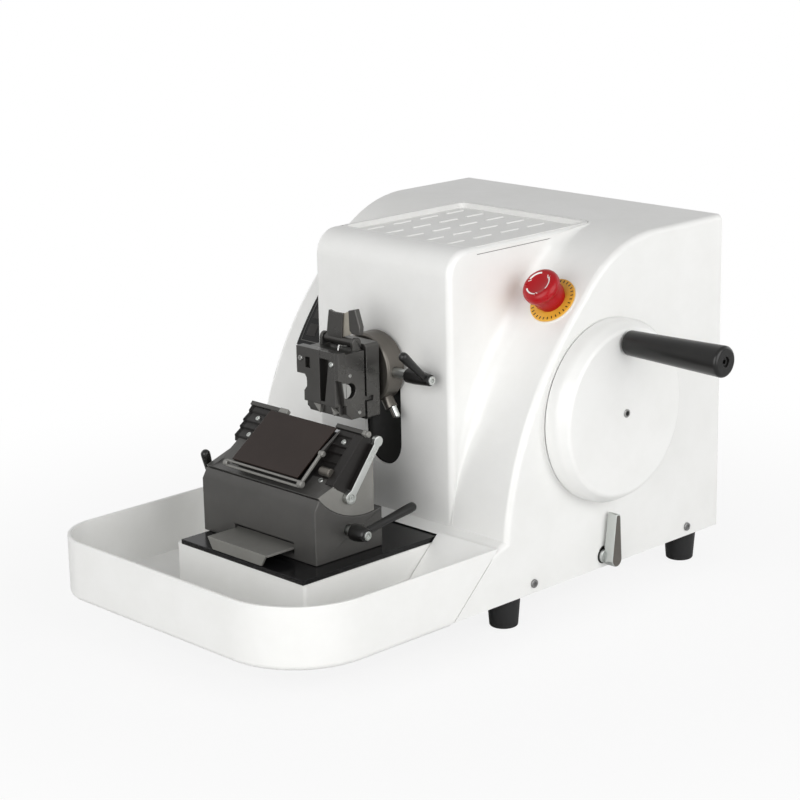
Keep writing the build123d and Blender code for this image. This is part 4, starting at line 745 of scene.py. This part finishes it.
def wheelPieces():
    place = facingX(housing["halfWidth"], wheel["y"], wheel["z"])
    pale, dark = (turnedRing(wheel["ringInner"], *wheel[key], place, 96) for key in ("pale", "dark"))
    addPiece("wheelGapRing", pale, "white_enamel")
    # The black ring is painted shade in the gap between the wheel and the housing
    addPiece("wheelGapPaintedShade", dark, "black_plastic")
    place = facingX(wheel["front"], wheel["y"], wheel["z"])
    screw = turned(wheel["screw"], place, 40)
    standIn("wheelScrew", screw, "ground_steel", "wheel_screw")
    # A black disc at the floor of the screw's socket: painted shade in the recess
    socketShadeDisc = turnedDisc(wheel["socketRadius"], *wheel["socketFloor"], place, 6)
    addPiece("wheelScrewSocketPaintedShade", socketShadeDisc, "black_plastic", bodyOf["wheel_screw"])


wheelPieces()

print("stage: blade holder")
edge = {"y": -87, "z": 165.5, "slope": 36.2, "x": 1}
edgeSin, edgeCos = sin(radians(edge["slope"])), cos(radians(edge["slope"]))
slopeBack, slopeUp = Vector((0, -edgeCos, -edgeSin)), Vector((0, -edgeSin, edgeCos))


# Places on the blade's slope: x, depth below the edge, height above the blade
def onSlope(x, depth, height):
    return at(x, edge["y"], edge["z"]) + (slopeBack * depth + slopeUp * height) * mm


# A side outline in depth and height, pushed along x
def slopePrism(outline, xLow, xHigh):
    return prism(outline, xHigh - xLow, turnedPlane(onSlope(xLow, 0, 0), slopeBack, slopeUp, axisX))


# A slab in the middle of the slope
def slopeSlab(half, depths, heights):
    (front, rear), (low, high) = depths, heights
    outline = [(front, low), (front, high), (rear, high), (rear, low)]
    return slopePrism(outline, edge["x"] - half, edge["x"] + half)


# A round bar along x; its spot is its depth, height and radius
def slopeBar(xLow, xHigh, spot, ease=0.4):
    depth, height, radius = spot
    return bar(onSlope(xLow, depth, height), onSlope(xHigh, depth, height), radius, ease)


support = {
    "coreHalf": 39.5, "coreDepths": (0.5, 52), "coreHeights": (-6.7, -0.7), "wingOuter": 66.2,
    "steps": [(-0.8, 0.2), (3.6, -0.4), (4.6, -2), (12.6, -1.5), (13.4, -3.4), (18.4, -3.2), (19.2, -5.2),
        (26.6, -4.8), (27.4, -6.5), (40.7, -6.4), (46.7, -9)],
    "rightFoot": [(41, -11.5), (-0.8, -9.5)],
    "leftFoot": [(29.5, -9), (27.5, -12), (-0.8, -9.5)], "leftEnd": 27.4, "sideProud": 0.06,
    "rightSideStart": 57.5, "leftSideStart": 61,
    "rightSide": [(0.3, 0.8), (46, -6), (44.5, -13), (41, -21.5), (-6.5, -9.6), (-1, -2.6)],
    "leftSide": [(27.5, -9), (23, -13), (26.4, -18), (-6.5, -9.6)],
    "screws": ((-1, 8.6, -1.7), (-1, 23.5, -4.9), (1, 8.6, -1.7), (1, 43.5, -7.2)), "screwX": 50.5,
    "screwRadius": 2.3, "bossSpan": (47.5, 59), "boss": (37, -3.6, 3.6),
}


def supportPieces():
    x, core, outer = edge["x"], support["coreHalf"], support["wingOuter"]
    side = outer + support["sideProud"]
    steps = support["steps"]
    leftSteps = [point for point in steps if point[0] <= support["leftEnd"]]
    slabs = [slopeSlab(core, support["coreDepths"], support["coreHeights"]),
             slopePrism(steps + support["rightFoot"], x + core, x + outer),
             slopePrism(leftSteps + support["leftFoot"], x - outer, x - core),
             slopePrism(support["rightSide"], x + support["rightSideStart"], x + side),
             slopePrism(leftSteps + support["leftSide"], x - side, x - support["leftSideStart"])]
    body = joinMeshes([roundEdges(slab, 0.35) for slab in slabs])
    standIn("supportBody", body, "black_anodised", "blade_support")
    heads = []
    for sign, depth, height in support["screws"]:
        spot = onSlope(x + sign * support["screwX"], depth, height)
        heads.append(screwHead(turnedPlane(spot, axisX, slopeBack, slopeUp), support["screwRadius"]))
    addPiece("supportScrews", joinMeshes(heads), "bright_steel", "rocker")
    low, high = support["bossSpan"]
    addPiece("supportBoss", slopeBar(x + low, x + high, support["boss"], 0.6), "dark_nickel", "rocker")


supportPieces()

# Dark bars that cover the ends of the edge, each with a grey end piece
fingerGuards = {
    "finger_guard_left": {"span": (-66, -31), "tipSpan": (-31, -21.5), "knobSpan": None},
    "finger_guard_right": {"span": (35.5, 67), "tipSpan": (65.5, 68.5), "knobSpan": (68, 71)},
}
fingerShape = {"bar": [(-4.4, -1.6), (-4.4, 2.4), (-0.9, 1.8), (-0.9, -1.6)],
               "tip": [(-4.7, -1.6), (-4.7, 2.8), (-0.4, 2.1), (-0.4, -1.6)], "knob": (-3.2, -0.4, 2.6)}


def fingerGuard(node, guard):
    bars = slopePrism(fingerShape["bar"], *guard["span"])
    standIn(node + "_bar", bars, "clamp_steel", node, 0.5)
    ends = [roundEdges(slopePrism(fingerShape["tip"], *guard["tipSpan"]), 0.5)]
    if guard["knobSpan"]:
        ends.append(slopeBar(*guard["knobSpan"], fingerShape["knob"], 0.7))
    addPiece(node + "_end", joinMeshes(ends), "rocker_grey", bodyOf[node])


for node, guard in fingerGuards.items():
    fingerGuard(node, guard)

glass = {"half": 38.5, "depths": (0.6, 53), "heights": (2.2, 3.8),
         "frameHalf": 37, "frameDepths": (2.6, 56), "frameHeights": (0.9, 2.15)}
guardArm = {
    "x": 43.6, "width": 2.2, "outline": [(57, 0), (57, 2.2), (28, 4.6), (25.6, 4.6), (25.6, 2.4), (28, 2.2)],
    "blade": [(27, 2.2), (27, 5), (24, 5.2), (3.2, 3.4), (3.2, 2.8)],
    "balls": ((56.2, 1.2, 2.8), (26.6, 3.4, 2.4)), "ballSpan": (-2.4, 3), "leftBall": (57, 1.4, 2.2),
    "leftBallSpan": (-2.4, 2.4), "rods": ((55.2, 2.8, 0.9), (58.2, 0.4, 1.1)), "rodReach": 43.5,
}


def guardPieces():
    x, armX, reach = edge["x"], guardArm["x"], guardArm["rodReach"]
    pane = slopeSlab(glass["half"], glass["depths"], glass["heights"])
    standIn("guardGlass", pane, "smoked_glass", "guard_plate", 0.4)
    tray = slopeSlab(glass["frameHalf"], glass["frameDepths"], glass["frameHeights"])
    standIn("guardTray", tray, "black_anodised", "guard_frame", 0.2)
    armSpan = (x + armX - guardArm["width"] / 2, x + armX + guardArm["width"] / 2)
    links = [slopeBar(x - reach, x + reach, rod) for rod in guardArm["rods"]]
    links.append(roundEdges(slopePrism(guardArm["outline"], *armSpan), 0.4))
    low, high = guardArm["ballSpan"]
    links += [slopeBar(x + armX + low, x + armX + high, ball, 0.9) for ball in guardArm["balls"]]
    low, high = guardArm["leftBallSpan"]
    links.append(slopeBar(x - armX + low, x - armX + high, guardArm["leftBall"], 0.7))
    addPiece("guardRods", joinMeshes(links), "rocker_grey", "guard")
    addPiece("guardArmTip", slopePrism(guardArm["blade"], *armSpan), "clamp_steel", "guard", 0.3)


guardPieces()

bladeLever = {
    "span": (67.35, 71.3), "y": -105, "z": 121, "angle": 52, "length": 49, "hub": 5.2, "half": 3.9,
    "end": 4.4, "groove": (2.2, 3.1, -0.7, 1), "centre": (0.9, -1, 1), "pinStart": 63.4, "pinRadius": 2,
    "topRun": (5, 44.5), "topSunk": 0.5, "topProud": 0.06, "topEdges": (0.15, 0.25),
}


# The lever's side outline: an arc round the pivot, a narrower bar and an arc at the far end
def bladeLeverOutline(along, across):
    hub, half, end, length = (bladeLever[key] for key in ("hub", "half", "end", "length"))
    points = []
    for steps, radius, middle, centre in ((18, hub, 0, 0), (12, end, pi, length)):
        gap = sin(half / radius)
        for i in range(steps + 1):
            part = middle + gap + (2 * pi - 2 * gap) * i / steps
            points.append(along * (centre + radius * cos(part)) + across * radius * sin(part))
    return [(bladeLever["y"] + point.y, bladeLever["z"] + point.z) for point in points]


def bladeLeverPieces():
    low, high = bladeLever["span"]
    y, z, turn = bladeLever["y"], bladeLever["z"], radians(bladeLever["angle"])
    along, across = Vector((0, cos(turn), sin(turn))), Vector((0, -sin(turn), cos(turn)))
    plate = roundEdges(sidePrism(bladeLeverOutline(along, across), low, high), 0.3)
    place = facingX(high, y, z)
    groove = turnedRing(*bladeLever["groove"], place, 40)
    centre = turnedDisc(*bladeLever["centre"], place, 16)
    pin = barAlongX(bladeLever["pinStart"], low + 0.5, y, z, bladeLever["pinRadius"], 0.3)
    plate = joinMeshes([carved(plate, groove, centre), pin])
    standIn("bladeLeverPlate", plate, "bright_steel", "blade_lever")
    # A dark strip along the lever's upper edge: a painted dark reflection on its bright steel
    start, end = bladeLever["topRun"]
    under, over = bladeLever["half"] - bladeLever["topSunk"], bladeLever["half"] + bladeLever["topProud"]
    inset, outset = bladeLever["topEdges"]
    darkReflectionStrip = prism([(start, under), (end, under), (end, over), (start, over)], high - outset - low - inset,
                  turnedPlane(at(low + inset, y, z), along, across, axisX))
    addPiece("bladeLeverPaintedReflection", darkReflectionStrip, "black_anodised", "blade_lever")


bladeLeverPieces()

print("stage: specimen clamp")
jaw = {
    "fixedRear": -74.02, "movingRear": -74.05, "front": -82, "floor": -78.6, "stepZ": 180.5, "lowZ": 170,
    "fixed": [(-13.5, 224), (-13.5, 202), (-4.2, 202), (-2.4, 199.5), (-2, 196), (-2.2, 192.5), (-5.4, 188.7),
        (-5.6, 180), (-2.6, 172.8), (13.2, 172.8), (13.2, 224)],
    "moving": [(13.5, 224), (13.5, 217.8), (24.2, 217.8), (18.4, 183.3), (13.7, 183.3), (13.7, 172.8),
        (31, 172.8), (31, 224)],
    "pocket": ((-3.4, -83, 207.7), (2.5, -77, 216.3)),
    "fixedRecess": (-12, 13.3), "movingRecess": (13.5, 31.5),
    "lip": [(-82, 224.6), (-74.1, 224), (-74.1, 181.5), (-76.1, 181.5), (-78.9, 201.6), (-82, 202.4)],
    "lipSpan": (30.9, 35.2), "facetRear": -78.3, "facetFront": -81.6, "glintThick": 0.36,
    # Lighter triangles at the jaws' feet, painted light that stands in for lit chamfers
    "paintedLightFacets": {
        "clamp": [(4.8, 180.3), (13, 180.3), (12, 173.2)],
        "moving_jaw": [(25, 180.3), (30.8, 176), (28, 173.2)]},
    # Bright plates in the notches of the jaws' sides: painted glints
    "paintedGlints": {
        "clamp": (34.7, [
            (-73.9, 198.6), (-71, 197.6), (-69.2, 195), (-69.2, 191), (-71, 188.4), (-73.9, 187)]),
        "moving_jaw": (34.9, [(-78, 200), (-74.6, 199.4), (-74.6, 187), (-76.2, 188)])},
}


# The step across the foot of a jaw
def jawRecess(xLow, xHigh):
    return block((xLow, jaw["front"] - 1, jaw["lowZ"]), (xHigh, jaw["floor"], jaw["stepZ"]))


def jawPieces():
    fixed = frontPrism(jaw["fixed"], jaw["fixedRear"], jaw["front"])
    fixed = carved(fixed, block(*jaw["pocket"]), jawRecess(*jaw["fixedRecess"]))
    standIn("fixedJaw", fixed, "clamp_steel", "fixed_jaw", 0.4)
    moving = frontPrism(jaw["moving"], jaw["movingRear"], jaw["front"])
    moving = roundEdges(carved(moving, jawRecess(*jaw["movingRecess"])), 0.4)
    lip = roundEdges(sidePrism(jaw["lip"], *jaw["lipSpan"]), 0.35)
    standIn("movingJaw", joinMeshes([moving, lip]), "clamp_steel", "moving_jaw")
    # Lighter triangles on the jaws' feet: painted light in place of lit chamfers
    for body, outline in jaw["paintedLightFacets"].items():
        paintedLightFacet = frontPrism(outline, jaw["facetRear"], jaw["facetFront"])
        addPiece("jawPaintedLightFacet_" + body, paintedLightFacet, "rocker_grey", body, 0.2)
    # Bright steel plates in the notches: painted glints
    for body, (x, outline) in jaw["paintedGlints"].items():
        addPiece("jawPaintedGlint_" + body, sidePrism(outline, x, x + jaw["glintThick"]), "ground_steel", body)


jawPieces()

clampScrews = {
    "front": -81.9, "fixed": (-8.4, 214.5), "moving": (27.4, 214.8), "radius": 2.2, "pinX": 35,
    "pins": ((-69.9, 204.7), (-60.7, 173.4)), "pinRadius": 1.5, "pinHeight": 0.8,
}
hook = {
    "radius": 0.65, "steps": 12, "ease": 0.3,
    "points": [(25.4, -63.5, 226), (26, -67, 226.4), (27.4, -71.5, 228.1), (29.4, -75.5, 229.3),
        (30.2, -77.4, 225.4)],
}


def frontScrew(spot):
    x, z = spot
    return screwHead(facingFront(x, clampScrews["front"], z), clampScrews["radius"])


def clampPieces():
    heads = [frontScrew(clampScrews["fixed"])]
    for y, z in clampScrews["pins"]:
        place = facingX(clampScrews["pinX"], y, z)
        heads.append(screwHead(place, clampScrews["pinRadius"], clampScrews["pinHeight"]))
    addPiece("clampScrews", joinMeshes(heads), "ground_steel", "clamp")
    wire = [bar(at(*start), at(*end), hook["radius"], hook["ease"], hook["steps"])
            for start, end in zip(hook["points"], hook["points"][1:])]
    addPiece("clampHook", joinMeshes(wire), "ground_steel", "clamp")
    addPiece("jawScrew", frontScrew(clampScrews["moving"]), "bright_steel", "moving_jaw")


clampPieces()

clampLever = {
    "y": -58, "z": 228, "span": (-4, 28), "hubRadius": 3.2,
    "left": [(0.6, 229), (-0.9, 233), (2.1, 251.2), (8, 250), (18.5, 250.4), (16.6, 229)],
    "right": [(25.8, 253.9), (33.5, 255.9), (38.4, 242.1), (37.6, 235.7), (29.4, 235.5), (26.5, 238)],
    "web": [(18.3, 250.3), (26, 253.6), (26.6, 238), (30, 235.8), (16.5, 231)], "leftDepth": (-57.6, -60.6),
    "rightDepth": (-56.6, -61.6), "webDepth": (-57.4, -59.4),
}


def clampLeverPieces():
    dark = [barAlongX(*clampLever["span"], clampLever["y"], clampLever["z"], clampLever["hubRadius"]),
            roundEdges(frontPrism(clampLever["left"], *clampLever["leftDepth"]), 0.5),
            roundEdges(frontPrism(clampLever["right"], *clampLever["rightDepth"]), 0.6)]
    standIn("clampLeverBlades", joinMeshes(dark), "clamp_steel", "clamp_lever")
    web = frontPrism(clampLever["web"], *clampLever["webDepth"])
    addPiece("clampLeverWeb", web, "plain_aluminium", "clamp_lever", 0.2)


clampLeverPieces()

drumPin = {"start": (36.6, -25.5, 172), "end": (42, -25.5, 163.4), "radius": 2.3, "ease": 0.8}
drumPinMesh = bar(at(*drumPin["start"]), at(*drumPin["end"]), drumPin["radius"], drumPin["ease"])
addPiece("drumPin", drumPinMesh, "bright_steel", "feed")

# The fine line under the lid's rim, on the hood's side
lidLine = {"low": (88.7, 18, 294), "high": (89.06, 116, 294.6)}
addPiece("lidLine", block(lidLine["low"], lidLine["high"]), "rocker_grey")

print("stage: floor, light and camera")
# The floor's size and gap in metres; the camera sees it white, and a little darker near the object
floorLook = {"size": 8.0, "gap": 0.0005, "grey": 0.8, "near": 0.25, "far": 0.75, "nearShare": 0.86}


def stageMaterial():
    material = bpy.data.materials.new("stageWhite")
    material.use_nodes = True
    tree, grey = material.node_tree, floorLook["grey"]
    tree.nodes.clear()
    matt = addNode(tree, "ShaderNodeBsdfDiffuse", {"Color": (grey, grey, grey, 1)})
    glow = addNode(tree, "ShaderNodeEmission", {"Color": (1, 1, 1, 1)})
    path = addNode(tree, "ShaderNodeLightPath")
    place = addNode(tree, "ShaderNodeTexCoord")
    away = addNode(tree, "ShaderNodeVectorMath", {0: place["Object"]}, operation="LENGTH")
    fade = addNode(tree, "ShaderNodeMapRange", {
        "From Min": floorLook["near"], "From Max": floorLook["far"], "To Min": floorLook["nearShare"],
        "Value": away["Value"]}, interpolation_type="SMOOTHSTEP")
    share = mathNode(tree, "MULTIPLY", path["Is Camera Ray"], fade["Result"])
    mix = addNode(tree, "ShaderNodeMixShader", {0: share, 1: matt[0], 2: glow[0]})
    addNode(tree, "ShaderNodeOutputMaterial", {"Surface": mix[0]})
    return material


floorMesh = bpy.data.meshes.new("floor")
half, low = floorLook["size"] / 2, -floorLook["gap"]
corners = [(-half, -half, low), (half, -half, low), (half, half, low), (-half, half, low)]
floorMesh.from_pydata(corners, [], [(0, 1, 2, 3)])
floorMesh.materials.append(stageMaterial())
newObject("floor", floorMesh)

worldLight = {"level": 0.3, "shown": 1.0, "glossy": 0.55}
world = bpy.data.worlds.new("studio")
bpy.context.scene.world = world
world.use_nodes = True
sky = world.node_tree
background = sky.nodes["Background"].inputs
background["Color"].default_value = (1, 1, 1, 1)
rays = addNode(sky, "ShaderNodeLightPath")
glossy, through = rays["Is Glossy Ray"], rays["Is Transmission Ray"]
mirrored = mathNode(sky, "MULTIPLY_ADD", glossy, worldLight["glossy"], through)
seen = mathNode(sky, "MAXIMUM", rays["Is Camera Ray"], mirrored)
strength = addNode(sky, "ShaderNodeMapRange", {
    "To Min": worldLight["level"], "To Max": worldLight["shown"], "Value": seen})
sky.links.new(strength["Result"], background["Strength"])

# Soft lamps: where they stand, in the machine's millimetres, their size in metres and their power
lamps = {
    "rightSoft": {"from": (1750, 60, 700), "size": 1.6, "power": 19},
    "frontSoft": {"from": (400, -1750, 700), "size": 1.6, "power": 21.3},
    "backSoft": {"from": (500, 1800, 500), "size": 1.4, "power": 7},
    "leftSoft": {"from": (-1800, 0, 500), "size": 1.4, "power": 7},
}
aimPoint = at(0, 60, 150)
for name, lamp in lamps.items():
    light = bpy.data.lights.new(name, "AREA")
    light.shape = "SQUARE"
    light.size = lamp["size"]
    light.energy = lamp["power"]
    stand = newObject(name, light)
    stand.location = at(*lamp["from"])
    stand.rotation_euler = (stand.location - aimPoint).to_track_quat("Z", "Y").to_euler()

view = {
    "azimuth": 45.987, "elevation": 15.204, "roll": -1.15, "eye": (1258.5, -1198.2, 636.7),
    "focalPixels": 2209, "frame": 800, "sensor": 36, "farthest": 50,
}
azimuth, elevation, roll = radians(view["azimuth"]), radians(view["elevation"]), radians(view["roll"])
forward = Vector((-sin(azimuth) * cos(elevation), cos(azimuth) * cos(elevation), -sin(elevation)))
right = Vector((cos(azimuth), sin(azimuth), 0))
up = right.cross(forward)
turnedRight = right * cos(roll) + up * sin(roll)
turnedUp = up * cos(roll) - right * sin(roll)
cameraData = bpy.data.cameras.new("camera")
cameraData.sensor_width = view["sensor"]
cameraData.lens = view["focalPixels"] / view["frame"] * view["sensor"]
cameraData.clip_end = view["farthest"]
camera = newObject("camera", cameraData)
turn = Matrix((turnedRight, turnedUp, -forward)).transposed().to_4x4()
camera.matrix_world = Matrix.Translation(at(*view["eye"])) @ turn
bpy.context.scene.camera = camera
bpy.context.scene.view_settings.view_transform = "Standard"

print("stage: finished")
